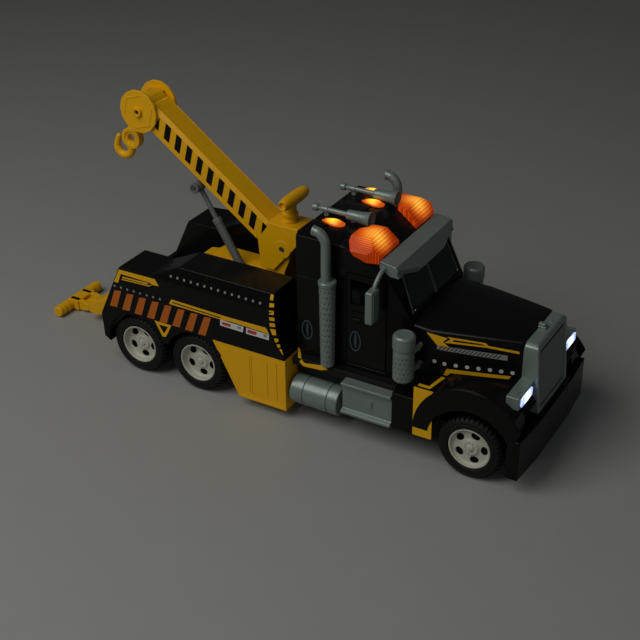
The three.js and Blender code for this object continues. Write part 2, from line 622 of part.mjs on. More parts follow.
function makeTurret() {
  const low = DECK_TOP + GAP;
  const base = [[-214, low], [-214, 101], [-206, 111], [-196, 112.5], [-189, 117.5],
    [-108, 117.5], [-108, low]];
  let turret = alongY(base, -22, 22);
  const lug = [[-117, 116], [-108, 146], ...arc(PIVOT.x, PIVOT.z, 10, 150, 0, 8), [-87.4, 138],
    [-92.9, 125], [-93.4, 112], [-93.4, low], [-117, low]];
  turret = turret.add(alongY(lug, -11.8, 11.8));
  turret = turret.subtract(barY(PIVOT.x, PIVOT.z, 3.3, -12, 12, 16));
  // The left half is hollow from below; the right half holds the lift cylinder.
  const hollow = [[-211, 60], [-211, 100], [-198, 109], [-187, 114], [-122, 114], [-111, 108], [-111, 60]];
  turret = turret.subtract(alongY(hollow, 1.5, 19.5));
  // Slot for the foot of the lift cylinder, bridged by its fixed pin.
  const slot = [[-122, 77], [-128, 119], [-168, 119], [-142, 77]];
  turret = turret.subtract(alongY(slot, LIFT_Y - 7, LIFT_Y + 7));
  turret = turret.add(barY(LIFT_FOOT.x, LIFT_FOOT.z, 2.5, LIFT_Y - 8, LIFT_Y + 8, 12));
  piece("turret_base", turret, YELLOW);
}

function makeBoom() {
  const outer = boomProfile([
    [26, BOOM_BOTTOM], [5.3, -36.3], [-6.9, -27.3], [-9.4, 17.5], [0.5, 32.6], [29.5, BOOM_TOP],
    [196, BOOM_TOP], [200, 9], [200, BOOM_BOTTOM],
  ]);
  const inner = boomProfile([
    [26, -60], [-60, -60], [-6.2, 15.5], [1.5, 28.6], [28.5, BOOM_TOP - 3], [230, BOOM_TOP - 3], [230, -60],
  ]);
  const [reelX, reelZ] = along(REEL.u, REEL.v);
  let boom = alongY(outer, -BOOM_HALF, BOOM_HALF);
  // The head is a drum level with the top plate.
  const headR = BOOM_TOP - REEL.v;
  boom = boom.add(barY(reelX, reelZ, headR, -BOOM_HALF, BOOM_HALF, 28));
  boom = boom.subtract(alongY(inner, -12.4, 12.4));
  boom = boom.subtract(barY(reelX, reelZ, headR - WALL, -12.4, 12.4, 24));
  forBothSides((side) => {
    const corner = [[BOOM_HALF + 1, BOOM_TOP - BOOM_CHAMFER], [BOOM_HALF, BOOM_TOP - BOOM_CHAMFER],
      [BOOM_HALF - BOOM_CHAMFER, BOOM_TOP], [BOOM_HALF - BOOM_CHAMFER, BOOM_TOP + 1],
      [BOOM_HALF + 1, BOOM_TOP + 1]];
    const edge = alongX(corner, -REEL.u, -29.5).rotate([0, BOOM_ANGLE * 180 / Math.PI, 0]);
    boom = boom.subtract(mirrored(edge.translate([PIVOT.x, 0, PIVOT.z]), side));
  });
  // Lug under the top plate for the lift pin, and the cross pin that the hook hangs on.
  const lug = boomProfile([
    [LIFT_PIN.u - 7, BOOM_TOP - 2], [LIFT_PIN.u - 7, LIFT_PIN.v], [LIFT_PIN.u, LIFT_PIN.v - 7],
    [LIFT_PIN.u + 7, LIFT_PIN.v], [LIFT_PIN.u + 7, BOOM_TOP - 2],
  ]);
  const [pinX, pinZ] = along(LIFT_PIN.u, LIFT_PIN.v);
  boom = boom.add(alongY(lug, 2, 10));
  boom = boom.subtract(barY(pinX, pinZ, 4.3, -20, 20, 16));
  boom = boom.add(barY(HOOK_PIN.x, HOOK_PIN.z, 2, -13, 13, 12));
  // Hinge bore and reel shaft bore.
  boom = boom.subtract(barY(PIVOT.x, PIVOT.z, 3.3, -20, 20, 16));
  boom = boom.subtract(barY(reelX, reelZ, 4.3, -20, 20, 16));
  piece("boom", boom, YELLOW);
  piece("boom_hinge_pin", barY(PIVOT.x, PIVOT.z, 3, -15, 15, 16), STEEL);
  piece("lift_pin", barY(pinX, pinZ, 4, LIFT_Y + 4.1, BOOM_HALF, 16), GREY);

  const reel = union(
    barY(reelX, reelZ, REEL_R, -18.8, -BOOM_HALF - GAP, 32),
    barY(reelX, reelZ, REEL_R, BOOM_HALF + GAP, 18.8, 32),
    barY(reelX, reelZ, 4, -17, 17, 16),
    barY(reelX, reelZ, 8, -10, 10, 18),
    barY(reelX, reelZ, 6, -21.5, -18, 16),
    barY(reelX, reelZ, 6, 18, 21.5, 16),
  );
  piece("winch_reel", reel, YELLOW);
}

function makeHandle() {
  // A T-grip across the truck on a short post.
  const z = 203.5;
  const x = -88.5;
  const post = turned([[0, 179.1], [7.5, 179.1], [7, 186], [6.5, z], [0, z]], 16).translate([-92, 0, 0]);
  const grip = turned([
    [0, -21], [5, -21], [6.6, -15], [7, 0], [6.7, 17], [5.2, 24], [0, 26.5],
  ], 16).rotate([90, 0, 0]).translate([x, 0, z]);
  piece("boom_grip", post.add(grip), YELLOW);
}

function makeHook() {
  const ring = { x: -285.5, z: 230.4, r: 11.8 };
  let hook = barY(ring.x, ring.z, ring.r, -4.4, 4.4, 22);
  hook = hook.subtract(barY(ring.x, ring.z, 4.6, -9, 9, 14));
  const strap = [
    [HOOK_PIN.x - 4, HOOK_PIN.z], ...arc(HOOK_PIN.x, HOOK_PIN.z, 4.6, 150, 20, 5),
    [ring.x + 6, ring.z + 8], [ring.x - 5, ring.z + 9],
  ];
  hook = hook.add(alongY(strap, -3, 3)).subtract(barY(HOOK_PIN.x, HOOK_PIN.z, 2.3, -5, 5, 12));
  const bend = arc(-297.5, 218, 9.6, 15, -190, 9).map(([x, z]) => new THREE.Vector3(x, 0, z));
  const curve = new THREE.CatmullRomCurve3([
    new THREE.Vector3(ring.x - 0.5, 0, ring.z - 7), ...bend, new THREE.Vector3(-304, 0, 228.5),
  ]);
  hook = hook.add(rodAlong(curve, 4.1, 22, 10));
  piece("hook", hook, YELLOW);
}

function makeLiftCylinder() {
  const [pinX, pinZ] = along(LIFT_PIN.u, LIFT_PIN.v);
  const direction = new THREE.Vector2(pinX - LIFT_FOOT.x, pinZ - LIFT_FOOT.z);
  const length = direction.length();
  direction.normalize();
  const tilt = Math.atan2(direction.x, direction.y) * 180 / Math.PI;
  const stand = (body) => body.rotate([0, tilt, 0]).translate([LIFT_FOOT.x, LIFT_Y, LIFT_FOOT.z]);

  const tube = turned([[0, 3], [4.5, 3], [4.5, BARREL_LENGTH], [3, BARREL_LENGTH], [3, 13], [0, 13]], 16);
  const foot = barY(0, 0, 6.5, -6, 6, 16);
  const barrel = tube.add(foot).subtract(barY(0, 0, 2.8, -8, 8, 12));
  piece("lift_barrel", stand(barrel), GREY);

  const rod = turned([[0, 36], [2.6, 36], [2.6, length], [0, length]], 14);
  const head = barY(0, length, 5.6, -10, 3.6, 18);
  piece("lift_rod", stand(rod.add(head)), GREY);
}

// ---------------------------------------------------------------- wheel lift
function makeStinger() {
  const arm = [
    [-276, 40], [-300, 40], [-330, 34], [-352, 20], [-352, 11.5], [-342, 10], [-300, 22], [-276, 26],
  ];
  let stinger = alongY(arm, -24, 24);
  const neck = [[-350, 19], [TOW_HINGE.x, 14], [-373.5, 11], [-373.5, 6], [TOW_HINGE.x, 3], [-348, 11.5]];
  stinger = stinger.add(alongY(neck, -7, 7));
  stinger = stinger.subtract(barY(TOW_HINGE.x, TOW_HINGE.z, 2.8, -10, 10, 12));
  // Trunnions that turn in the chassis ears.
  stinger = stinger.add(barY(STINGER_PIVOT.x, STINGER_PIVOT.z, 2.8, -32, 32, 12));
  stinger = stinger.subtract(box(-277.5, -270, -30, 30, 20, 50));
  piece("stinger_arm", stinger, YELLOW);

  // Crossbar with a fork that straddles the neck of the arm.
  let bar = barY(TOW_BAR.x, TOW_BAR.z, 6.8, -37, 37, 16);
  bar = bar.add(box(-391, -376, -15, 15, 1.5, 14));
  for (const side of [NEAR, FAR]) {
    const outline = [[-390, 2], [-390, 14], [-370, 14], [-362, 12], [-362, 4], [-370, 2]];
    const cheek = alongY(outline, 7 + GAP, 13);
    bar = bar.add(mirrored(cheek, side));
  }
  bar = bar.add(barY(TOW_HINGE.x, TOW_HINGE.z, 2.5, -10, 10, 12));
  bar = bar.subtract(alongY([[-376, 0], [-376, 20], [-340, 20], [-340, 0]], -7 - GAP, 7 + GAP)
    .subtract(barY(TOW_HINGE.x, TOW_HINGE.z, 2.5, -10, 10, 12)));
  piece("tow_bar", bar, YELLOW);
}

// ---------------------------------------------------------------- assembly
for (const [where, x] of Object.entries(AXLES)) makeWheelset(where, x);
makeChassis();
makeBumper();
makeCab();
makeSleeper();
makeHood();
makeGrille();
makeVisor();
makeMarkerLights();
forBothSides((side) => {
  makeDoor(side);
  makeBeacon(side);
  makeHorn(side);
  makeStack(side);
  makeAirCleaner(side);
  makeTank(side);
  makeToolBox(side);
  makeSkirt(side);
  makePod(side);
});
makeDeck();
makeTurret();
makeBoom();
makeHandle();
makeHook();
makeLiftCylinder();
makeStinger();

// The origin goes on the ground under the middle of the bounding box.
const bounds = new THREE.Box3().setFromObject(truck, true);
truck.position.set(-(bounds.min.x + bounds.max.x) / 2, 0, 0);
truck.updateMatrixWorld(true);

export default truck;
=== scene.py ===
import math

import bmesh
import bpy
from mathutils import Matrix, Vector


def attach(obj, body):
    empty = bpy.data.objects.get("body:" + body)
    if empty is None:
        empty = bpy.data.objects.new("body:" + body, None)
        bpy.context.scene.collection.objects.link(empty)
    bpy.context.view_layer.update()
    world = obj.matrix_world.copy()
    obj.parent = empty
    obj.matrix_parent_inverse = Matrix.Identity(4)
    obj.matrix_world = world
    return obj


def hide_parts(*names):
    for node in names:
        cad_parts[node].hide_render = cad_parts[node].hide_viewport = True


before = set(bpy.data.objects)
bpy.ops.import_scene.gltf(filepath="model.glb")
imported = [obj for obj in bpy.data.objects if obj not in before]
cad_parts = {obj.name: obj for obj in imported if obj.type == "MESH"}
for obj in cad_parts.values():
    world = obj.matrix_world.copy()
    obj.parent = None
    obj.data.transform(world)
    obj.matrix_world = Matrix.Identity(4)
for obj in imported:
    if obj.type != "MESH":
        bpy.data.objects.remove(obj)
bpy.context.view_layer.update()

# ---- dimensions, mm
MM = 0.001
SEAM_X = 95.9                     # where the cab seam lies in the frame
NEAR, FAR = -1, 1                 # right-hand and left-hand side
SIDES = ((NEAR, "right"), (FAR, "left"))

TYRE_Y = 70.3
AXLE_Z = 33
AXLES = {"front": 150, "middle": -158.6, "rear": -234.3}
RIMS = {"front": (4.2, 0.0), "middle": (7, -0.157), "rear": (7, -0.157)}  # dish, turn of the holes
CAB_HALF = 64
CAB_BOTTOM = 72
WALL = 2.5
BODY_HALF = 85
WELL_HALF = 39.4
LEDGE_HALF = 53.4
POD_TOP = 124
HUMP_TOP = 140
POD_FRONT = -63.3
POD_BACK = -280
PIVOT = (-93.5, 152)
BOOM_ANGLE = math.radians(36.6)
BOOM_HALF = 15.4
BOOM_TOP = 11.6
BOOM_BOTTOM = -13
BOOM_CHAMFER = 3.3
REEL = (204.5, -5.6)
HOOK_PIN = (-275.5, 260)
LIFT_PIN = (109.6, -23.8)
LIFT_FOOT = (-131, 88)
LIFT_Y = -9.5
STINGER_PIVOT = (-281, 34)
TOW_BAR = (-388.5, 7)
TOW_HINGE = (-368, 8.5)
FENDER = (150, 40)                # centre of the front fender arc
STEP_Y = 74                       # outer face of the running board
PRINT = 0.16                      # thickness of a printed sticker
PRINT_SUNK = 0.03                 # how far a sticker is let into the surface
PRINT_LAYER = 0.08                # how much higher a sticker on another one lies


# ---- mesh building
def turns(count, start=0.0):
    """Angles that share out a full turn."""
    return [start + 2 * math.pi * i / count for i in range(count)]


def on_circle(centre, radius, angle):
    """The point of a circle at an angle."""
    return (centre[0] + radius * math.cos(angle), centre[1] + radius * math.sin(angle))


def outward(bm):
    """The mesh with its faces turned outwards."""
    bmesh.ops.recalc_face_normals(bm, faces=bm.faces)
    return bm


def mesh_from(points, faces):
    bm = bmesh.new()
    verts = [bm.verts.new(p) for p in points]
    for face in faces:
        bm.faces.new([verts[i] for i in face])
    return outward(bm)


def skinned(bm, rings, closed=False):
    """Faces between each ring of corners and the next; a ring held at one point makes a fan."""
    for first, second in zip(rings, rings[1:] + rings[:1] * closed):
        for i in range(len(first)):
            j = (i + 1) % len(first)
            corners = list(dict.fromkeys((first[i], first[j], second[j], second[i])))
            if len(corners) > 2:
                bm.faces.new(corners)
    return outward(bm)


def prism(axis, outline, low, high):
    """An outline swept along an axis: x takes (y, z) points, y (x, z) and z (x, y)."""
    place = {
        "x": lambda a, b, c: (c, a, b),
        "y": lambda a, b, c: (a, c, b),
        "z": lambda a, b, c: (a, b, c),
    }[axis]
    n = len(outline)
    points = [place(a, b, c) for c in (low, high) for a, b in outline]
    faces = [list(range(n)), list(range(n, 2 * n))]
    faces += [[i, (i + 1) % n, n + (i + 1) % n, n + i] for i in range(n)]
    return mesh_from(points, faces)


def plate(outline, low, high):
    """A side view, (x, z), swept across the truck."""
    return prism("y", outline, low, high)


def box(x0, x1, y0, y1, z0, z1):
    return prism("z", [(x0, y0), (x1, y0), (x1, y1), (x0, y1)], z0, z1)


def turned(profile, centre=(0, 0, 0), axis="z", segments=48):
    """A solid of revolution from (radius, height) points about an axis through the centre."""
    cx, cy, cz = centre
    place = {
        "x": lambda a, b, h: (cx + h, cy + a, cz + b),
        "y": lambda a, b, h: (cx + a, cy + h, cz + b),
        "z": lambda a, b, h: (cx + a, cy + b, cz + h),
    }[axis]
    bm = bmesh.new()
    rings = []
    for r, h in profile:
        if r == 0:
            rings.append([bm.verts.new(place(0, 0, h))] * segments)
        else:
            rings.append([bm.verts.new(place(r * math.cos(a), r * math.sin(a), h))
                    for a in turns(segments)])
    return skinned(bm, rings, closed=profile[0][0] > 0)


def bar(x, z, radius, low, high, segments=40):
    """A round bar across the truck."""
    return turned([(0, low), (radius, low), (radius, high), (0, high)], (x, 0, z), "y", segments)


def smooth_path(points, steps=8):
    """Catmull-Rom samples through the points."""
    p = [Vector(q) for q in points]
    p = [2 * p[0] - p[1]] + p + [2 * p[-1] - p[-2]]
    samples = []
    for i in range(1, len(p) - 2):
        for k in range(steps):
            t = k / steps
            samples.append(0.5 * (2 * p[i] + (p[i + 1] - p[i - 1]) * t
                                  + (2 * p[i - 1] - 5 * p[i] + 4 * p[i + 1] - p[i + 2]) * t * t
                                  + (3 * p[i] - p[i - 1] - 3 * p[i + 1] + p[i + 2]) * t ** 3))
    return samples + [p[-2]]


def tube(points, radius, sides=24, steps=8):
    """A round rod along a smooth path; the radius may be one number or one for each sample."""
    path = smooth_path(points, steps)
    radii = radius if isinstance(radius, list) else [radius] * len(path)
    bm = bmesh.new()
    normal = None
    rings = []
    for i, spot in enumerate(path):
        heading = (path[min(i + 1, len(path) - 1)] - path[max(i - 1, 0)]).normalized()
        if normal is None:
            normal = heading.orthogonal().normalized()
        normal = (normal - heading * normal.dot(heading)).normalized()
        across = heading.cross(normal)
        ring = [radii[i] * (math.cos(a) * normal + math.sin(a) * across) for a in turns(sides)]
        rings.append([bm.verts.new(spot + offset) for offset in ring])
    bm.faces.new(rings[0])
    bm.faces.new(rings[-1])
    return skinned(bm, rings)


def loft(rings, tip=None):
    """A skin over rings of equally many points, closed by flat ends or by a tip."""
    n = len(rings[0])
    points = [p for ring in rings for p in ring]
    last = len(points) - n
    faces = [list(range(n))]
    for k in range(0, last, n):
        faces += [[k + i, k + (i + 1) % n, k + n + (i + 1) % n, k + n + i] for i in range(n)]
    if tip is None:
        faces.append(list(range(last, last + n)))
    else:
        points.append(tip)
        faces += [[last + i, last + (i + 1) % n, last + n] for i in range(n)]
    return mesh_from(points, faces)


def hull(points):
    bm = bmesh.new()
    for p in points:
        bm.verts.new(p)
    made = bmesh.ops.convex_hull(bm, input=bm.verts)
    loose = {g for g in made["geom_interior"] + made["geom_unused"] if isinstance(g, bmesh.types.BMVert)}
    bmesh.ops.delete(bm, geom=list(loose), context="VERTS")
    return clean(outward(bm))


def dome(centre, radius, height, axis="z", segments=16):
    """A low round button standing on its flat side."""
    profile = [(radius * math.cos(a), height * math.sin(a)) for a in (math.pi / 8 * i for i in range(4))]
    return turned([(0, 0)] + profile + [(0, height)], centre, axis, segments)


def arc(cx, cz, radius, a0, a1, steps):
    """Points along part of a circle, from a0 to a1 degrees."""
    return [on_circle((cx, cz), radius, math.radians(a0 + (a1 - a0) * i / steps)) for i in range(steps + 1)]


def oval(cx, cz, rx, rz, steps=28, lean=0.0):
    points = []
    c, s = math.cos(lean), math.sin(lean)
    for a in turns(steps):
        u, v = rx * math.cos(a), rz * math.sin(a)
        points.append((cx + u * c - v * s, cz + u * s + v * c))
    return points


def clean(bm, degrees=0.6):
    """Merges faces that lie in one plane."""
    bmesh.ops.dissolve_limit(bm, angle_limit=math.radians(degrees), verts=bm.verts, edges=bm.edges)
    return bm


def added(name, data):
    """A new object in the scene."""
    thing = bpy.data.objects.new(name, data)
    bpy.context.scene.collection.objects.link(thing)
    return thing


def scratch(bm):
    mesh = bpy.data.meshes.new("scratch")
    bm.to_mesh(mesh)
    return added("scratch", mesh)


def modify(thing, kind, **settings):
    step = thing.modifiers.new("step", kind)
    for key, value in settings.items():
        setattr(step, key, value)


def baked(thing):
    """The object's mesh with its modifiers applied."""
    depsgraph = bpy.context.evaluated_depsgraph_get()
    return bpy.data.meshes.new_from_object(thing.evaluated_get(depsgraph))


def result_of(thing, *helpers):
    """The modified shape; the scratch objects it came from are removed."""
    mesh = baked(thing)
    bm = bmesh.new()
    bm.from_mesh(mesh)
    bpy.data.meshes.remove(mesh)
    for used in (thing, *helpers):
        mesh = used.data
        bpy.data.objects.remove(used)
        bpy.data.meshes.remove(mesh)
    return bm


def boolean(operation, body, tools):
    target = scratch(body)
    helpers = [scratch(tool) for tool in tools]
    for helper in helpers:
        modify(target, "BOOLEAN", operation=operation, solver="EXACT", object=helper)
    return result_of(target, *helpers)


def cut(body, *tools):
    return boolean("DIFFERENCE", body, tools)


def fused(body, *tools):
    return boolean("UNION", body, tools)


def common(body, *tools):
    return boolean("INTERSECT", body, tools)


def together(parts):
    """Several closed shapes as one mesh."""
    joined = bmesh.new()
    for part in parts:
        mesh = bpy.data.meshes.new("part")
        part.to_mesh(mesh)
        joined.from_mesh(mesh)
        bpy.data.meshes.remove(mesh)
    return joined


def rounded(bm, width, segments=2, degrees=30):
    """Softened edges wherever two faces meet at more than the given angle."""
    thing = scratch(bm)
    modify(thing, "BEVEL", width=width, segments=segments, limit_method="ANGLE",
           angle_limit=math.radians(degrees), miter_outer="MITER_ARC", use_clamp_overlap=False)
    return result_of(thing)


def mirrored(bm, side=FAR):
    """A copy on the given side; shapes are drawn on the left, +Y."""
    twin = bm.copy()
    if side == NEAR:
        bmesh.ops.scale(twin, vec=(1, -1, 1), verts=twin.verts)
        bmesh.ops.reverse_faces(twin, faces=twin.faces)
    return twin


def moved(bm, matrix):
    twin = bm.copy()
    bmesh.ops.transform(twin, matrix=matrix, verts=twin.verts)
    return twin


def painted(bm, index):
    """Marks a part's faces for the piece's material of that index."""
    for face in bm.faces:
        face.material_index = index
    return bm


def both(*shapes):
    """The shapes on both sides."""
    return [mirrored(shape, side) for side in (NEAR, FAR) for shape in shapes]


def add_piece(name, parts, materials, body="truck", smooth=32, sticker=False):
    """Joins the parts, places them in the frame and says what they ride on and stand for."""
    mesh = bpy.data.meshes.new(f"look_{name}")
    outward(together(parts)).to_mesh(mesh)
    mesh.transform(Matrix.Translation((SEAM_X * MM, 0, 0)) @ Matrix.Scale(MM, 4))
    for material in materials:
        mesh.materials.append(material)
    mesh.shade_smooth()
    mesh.set_sharp_from_angle(angle=math.radians(smooth))
    thing = added(mesh.name, mesh)
    # Flats keep their own normals, so only the softened edges shade round.
    modify(thing, "WEIGHTED_NORMAL", keep_sharp=True)
    shaded = baked(thing)
    thing.modifiers.clear()
    thing.data = shaded
    bpy.data.meshes.remove(mesh)
    shaded.name = thing.name
    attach(thing, body)
    if not sticker:
        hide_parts(name)


def add_pair(kind, parts, material, smooth=32):
    """The same piece on both sides, each standing for the frame node of its name."""
    for side, label in SIDES:
        add_piece(f"{label}_{kind}", [mirrored(part, side) for part in parts], [material], smooth=smooth)


# ---- materials
def feed(tree, socket, value):
    """Links a socket to another node's, or sets its constant."""
    if isinstance(value, bpy.types.NodeSocket):
        tree.links.new(value, socket)
    else:
        socket.default_value = value


def add_node(tree, kind, inputs=None, **settings):
    node = tree.nodes.new(kind)
    for key, value in settings.items():
        setattr(node, key, value)
    for key, value in (inputs or {}).items():
        feed(tree, node.inputs[key], value)
    return node


def calculated(tree, operation, *values):
    return add_node(tree, "ShaderNodeMath", dict(enumerate(values)), operation=operation).outputs[0]


def ranged(tree, value, low, high, to_low, to_high, **settings):
    """The value mapped from one range to another."""
    names = ("Value", "From Min", "From Max", "To Min", "To Max")
    inputs = dict(zip(names, (value, low, high, to_low, to_high)))
    return add_node(tree, "ShaderNodeMapRange", inputs, **settings).outputs["Result"]


def blended(tree, factor, first, second):
    """A colour mixed from two by a factor."""
    node = add_node(tree, "ShaderNodeMix", {0: factor}, data_type="RGBA")
    for socket, value in zip([s for s in node.inputs if s.type == "RGBA"], (first, second)):
        feed(tree, socket, value)
    return [s for s in node.outputs if s.type == "RGBA"][0]


def tinted(colour, factor, lift=0.0):
    return tuple(min(1.0, factor * c + lift) for c in colour) + (1.0,)


def moulded(name, colour, roughness, metallic=0.0, coat=0.0, grain=1400.0, depth=0.12,
            mottle=0.10, scuff=0.0, glow=None, through=0.0, specular=0.5):
    """A moulded plastic: uneven tone, uneven gloss, fine grain, and scuffs where scuff is above 0."""
    material = bpy.data.materials.new(name)
    material.use_nodes = True
    tree = material.node_tree
    tree.nodes.clear()
    place = add_node(tree, "ShaderNodeTexCoord").outputs["Object"]

    def noise(scale, detail, rough=0.5):
        inputs = {"Vector": place, "Scale": scale, "Detail": detail, "Roughness": rough}
        return add_node(tree, "ShaderNodeTexNoise", inputs).outputs["Fac"]

    speck = noise(190.0, 6.0, 0.65)
    shown = blended(tree, noise(28.0, 4.0), tinted(colour, 1 - mottle), tinted(colour, 1 + mottle))
    if scuff:
        worn = ranged(tree, speck, 0.60, 0.74, 0.0, scuff)
        shown = blended(tree, worn, shown, tinted(colour, 0.6, 0.22))
    gloss = ranged(tree, speck, 0.3, 0.7, max(roughness - 0.05, 0.03), roughness + 0.09)
    grains = {"Height": noise(grain, 2.0), "Strength": depth, "Distance": 0.0002}
    relief = add_node(tree, "ShaderNodeBump", grains).outputs["Normal"]
    shader = add_node(tree, "ShaderNodeBsdfPrincipled", {
        "Base Color": shown, "Roughness": gloss, "Normal": relief, "Metallic": metallic,
        "Specular IOR Level": specular, "Coat Weight": coat, "Coat Roughness": 0.12,
        "Transmission Weight": through})
    if glow:
        glow(tree, place, shader)
    add_node(tree, "ShaderNodeOutputMaterial", {"Surface": shader.outputs["BSDF"]})
    return material


def lamp_glow(centre, reach, hot, rim, strength, edge, ribs=False):
    """Light that fades from a hot spot to the rim of a lens; both sides of the truck alike."""
    x, y, z = centre
    spot = ((x + SEAM_X) * MM, y * MM, z * MM)

    def glow(tree, place, shader):
        split = add_node(tree, "ShaderNodeSeparateXYZ", {"Vector": place}).outputs
        across = calculated(tree, "ABSOLUTE", split["Y"])
        folded = {"X": split["X"], "Y": across, "Z": split["Z"]}
        joined = add_node(tree, "ShaderNodeCombineXYZ", folded).outputs[0]
        away = add_node(tree, "ShaderNodeVectorMath", {0: joined, 1: spot}, operation="DISTANCE")
        fade = ranged(tree, away.outputs["Value"], 0.0, reach * MM, 1.0, 0.0,
            interpolation_type="SMOOTHSTEP")
        ramp = add_node(tree, "ShaderNodeValToRGB", {"Fac": fade})
        ramp.color_ramp.elements[0].color = rim
        ramp.color_ramp.elements[1].color = hot
        shown = ranged(tree, fade, 0.0, 1.0, edge * strength, strength)
        if ribs:
            # Ribs moulded across the lens darken and brighten the light in fine lines.
            for source, pitch, low in ((across, 1.7, 0.3), (split["X"], 2.2, 0.6)):
                wave = calculated(tree, "MULTIPLY", source, 2 * math.pi / (pitch * MM))
                share = ranged(tree, calculated(tree, "SINE", wave), -0.6, 0.6, low, 1.0)
                shown = calculated(tree, "MULTIPLY", shown, share)
        feed(tree, shader.inputs["Emission Color"], ramp.outputs["Color"])
        feed(tree, shader.inputs["Emission Strength"], shown)
    return glow


BLACK = moulded("black_plastic", (0.005, 0.005, 0.005), 0.22, scuff=0.003, depth=0.05, specular=0.14)
BLACK_SATIN = moulded("black_satin", (0.008, 0.008, 0.008), 0.42, scuff=0.01, grain=2200, depth=0.2,
    specular=0.2)
# Painted shade: a flat dark finish put in holes, gaps and recesses where shade falls.
RECESS_SHADE = moulded("painted_recess_shade", (0.004, 0.004, 0.004), 0.8, specular=0.2)
YELLOW = moulded("yellow_plastic", (0.82, 0.42, 0.002), 0.36, mottle=0.05, scuff=0.015, specular=0.3)
SILVER = moulded("silver_plastic", (0.20, 0.25, 0.23), 0.34, metallic=0.3, coat=0.12, mottle=0.08,
    scuff=0.05)
GREY = moulded("grey_plastic", (0.16, 0.17, 0.165), 0.42, metallic=0.2, scuff=0.05)
CREAM = moulded("cream_plastic", (0.50, 0.50, 0.42), 0.42, mottle=0.07, scuff=0.03)
RUBBER = moulded("tyre_rubber", (0.006, 0.006, 0.006), 0.6, grain=1800, depth=0.3, mottle=0.2, scuff=0.03,
                 specular=0.25)
STEEL = moulded("steel", (0.42, 0.43, 0.44), 0.3, metallic=0.95, mottle=0.06)
GLASS = moulded("dark_pane", (0.008, 0.010, 0.012), 0.09, mottle=0.2, depth=0.02)
PLAQUE = moulded("plaque_slate", (0.045, 0.065, 0.085), 0.3, metallic=0.3, coat=0.1)
PRINT_YELLOW = moulded("print_yellow", (0.80, 0.42, 0.004), 0.32, mottle=0.05, specular=0.25)
PRINT_ORANGE = moulded("print_orange", (0.50, 0.125, 0.012), 0.36, mottle=0.10, specular=0.2)
PRINT_BLACK = moulded("print_black", (0.004, 0.004, 0.004), 0.3, specular=0.15)
PRINT_WHITE = moulded("print_white", (0.62, 0.63, 0.61), 0.34, mottle=0.06)
PRINT_RED = moulded("print_red", (0.48, 0.035, 0.02), 0.34, mottle=0.08)
PRINT_GREY = moulded("print_grey", (0.26, 0.265, 0.25), 0.38, mottle=0.15)
AMBER = (0.46, 0.05, 0.002)
BEACON = moulded("amber_beacon", AMBER, 0.2, specular=0.15, depth=0.25, grain=600,
    glow=lamp_glow((27, 42, 206), 23, (1.0, 0.48, 0.05, 1), (1.0, 0.075, 0.003, 1), 2.0, 0.17, ribs=True))
MARKER_SPOTS = {"outer": (-19.4, 40, 214), "inner": (-7, 17, 214)}
MARKERS = []
for where, spot in MARKER_SPOTS.items():
    light = lamp_glow(spot, 12, (1.0, 0.55, 0.03, 1), (1.0, 0.16, 0.004, 1), 1.7, 0.2)
    MARKERS.append(moulded(f"amber_marker_{where}", AMBER, 0.18, coat=0.1, glow=light))
AMBER_RIM = moulded("amber_rim", (0.75, 0.11, 0.01), 0.22, coat=0.3,
    glow=lamp_glow((-13, 28, 208), 60, (1.0, 0.16, 0.01, 1), (0.9, 0.08, 0.01, 1), 0.35, 0.5))
HEADLIGHT = moulded("headlight", (0.85, 0.9, 1.0), 0.12, coat=0.3, through=0.3,
    glow=lamp_glow((194, 56, 91), 18, (0.80, 0.88, 1.0, 1), (0.16, 0.26, 1.0, 1), 1.1, 0.25))


# ---- wheels
def tyre_mesh(side, x):
    """The tread's blocks come from a radius that drops in the grooves, (radius, height, drop)."""
    half = [(22.0, -11.4, 0), (22.6, -12.1, 0), (23.4, -12.5, 0), (26.0, -12.5, 0), (26.4, -12.2, 0),
        (28.0, -12.2, 0), (28.4, -12.5, 0), (29.6, -12.4, 0), (30.4, -11.9, 0.3), (31.6, -10.8, 1.3),
        (32.7, -9.4, 1.5), (33.0, -8.4, 1.6), (33.0, -3.4, 1.6), (31.8, -3.0, 0.4), (31.8, -1.8, 0.4),
        (33.0, -1.4, 0)]
    profile = half + [(r, -h, d) for r, h, d in reversed(half)]
    blocks = 40
    pattern = [(0.0, 0), (0.58, 0), (0.66, 1), (0.92, 1)]
    bm = bmesh.new()
    rings = []
    for r, h, drop in profile:
        ring = []
        # The blocks of the two halves are half a pitch apart.
        start = 0.5 if h > 0 else 0
        for k in range(blocks):
            for share, deep in pattern:
                a = 2 * math.pi * (k + share + start) / blocks
                reach = r - drop * deep
                spot = (x + reach * math.cos(a), side * (TYRE_Y + h), AXLE_Z + reach * math.sin(a))
                ring.append(bm.verts.new(spot))
        rings.append(ring)
    return skinned(bm, rings, closed=True)


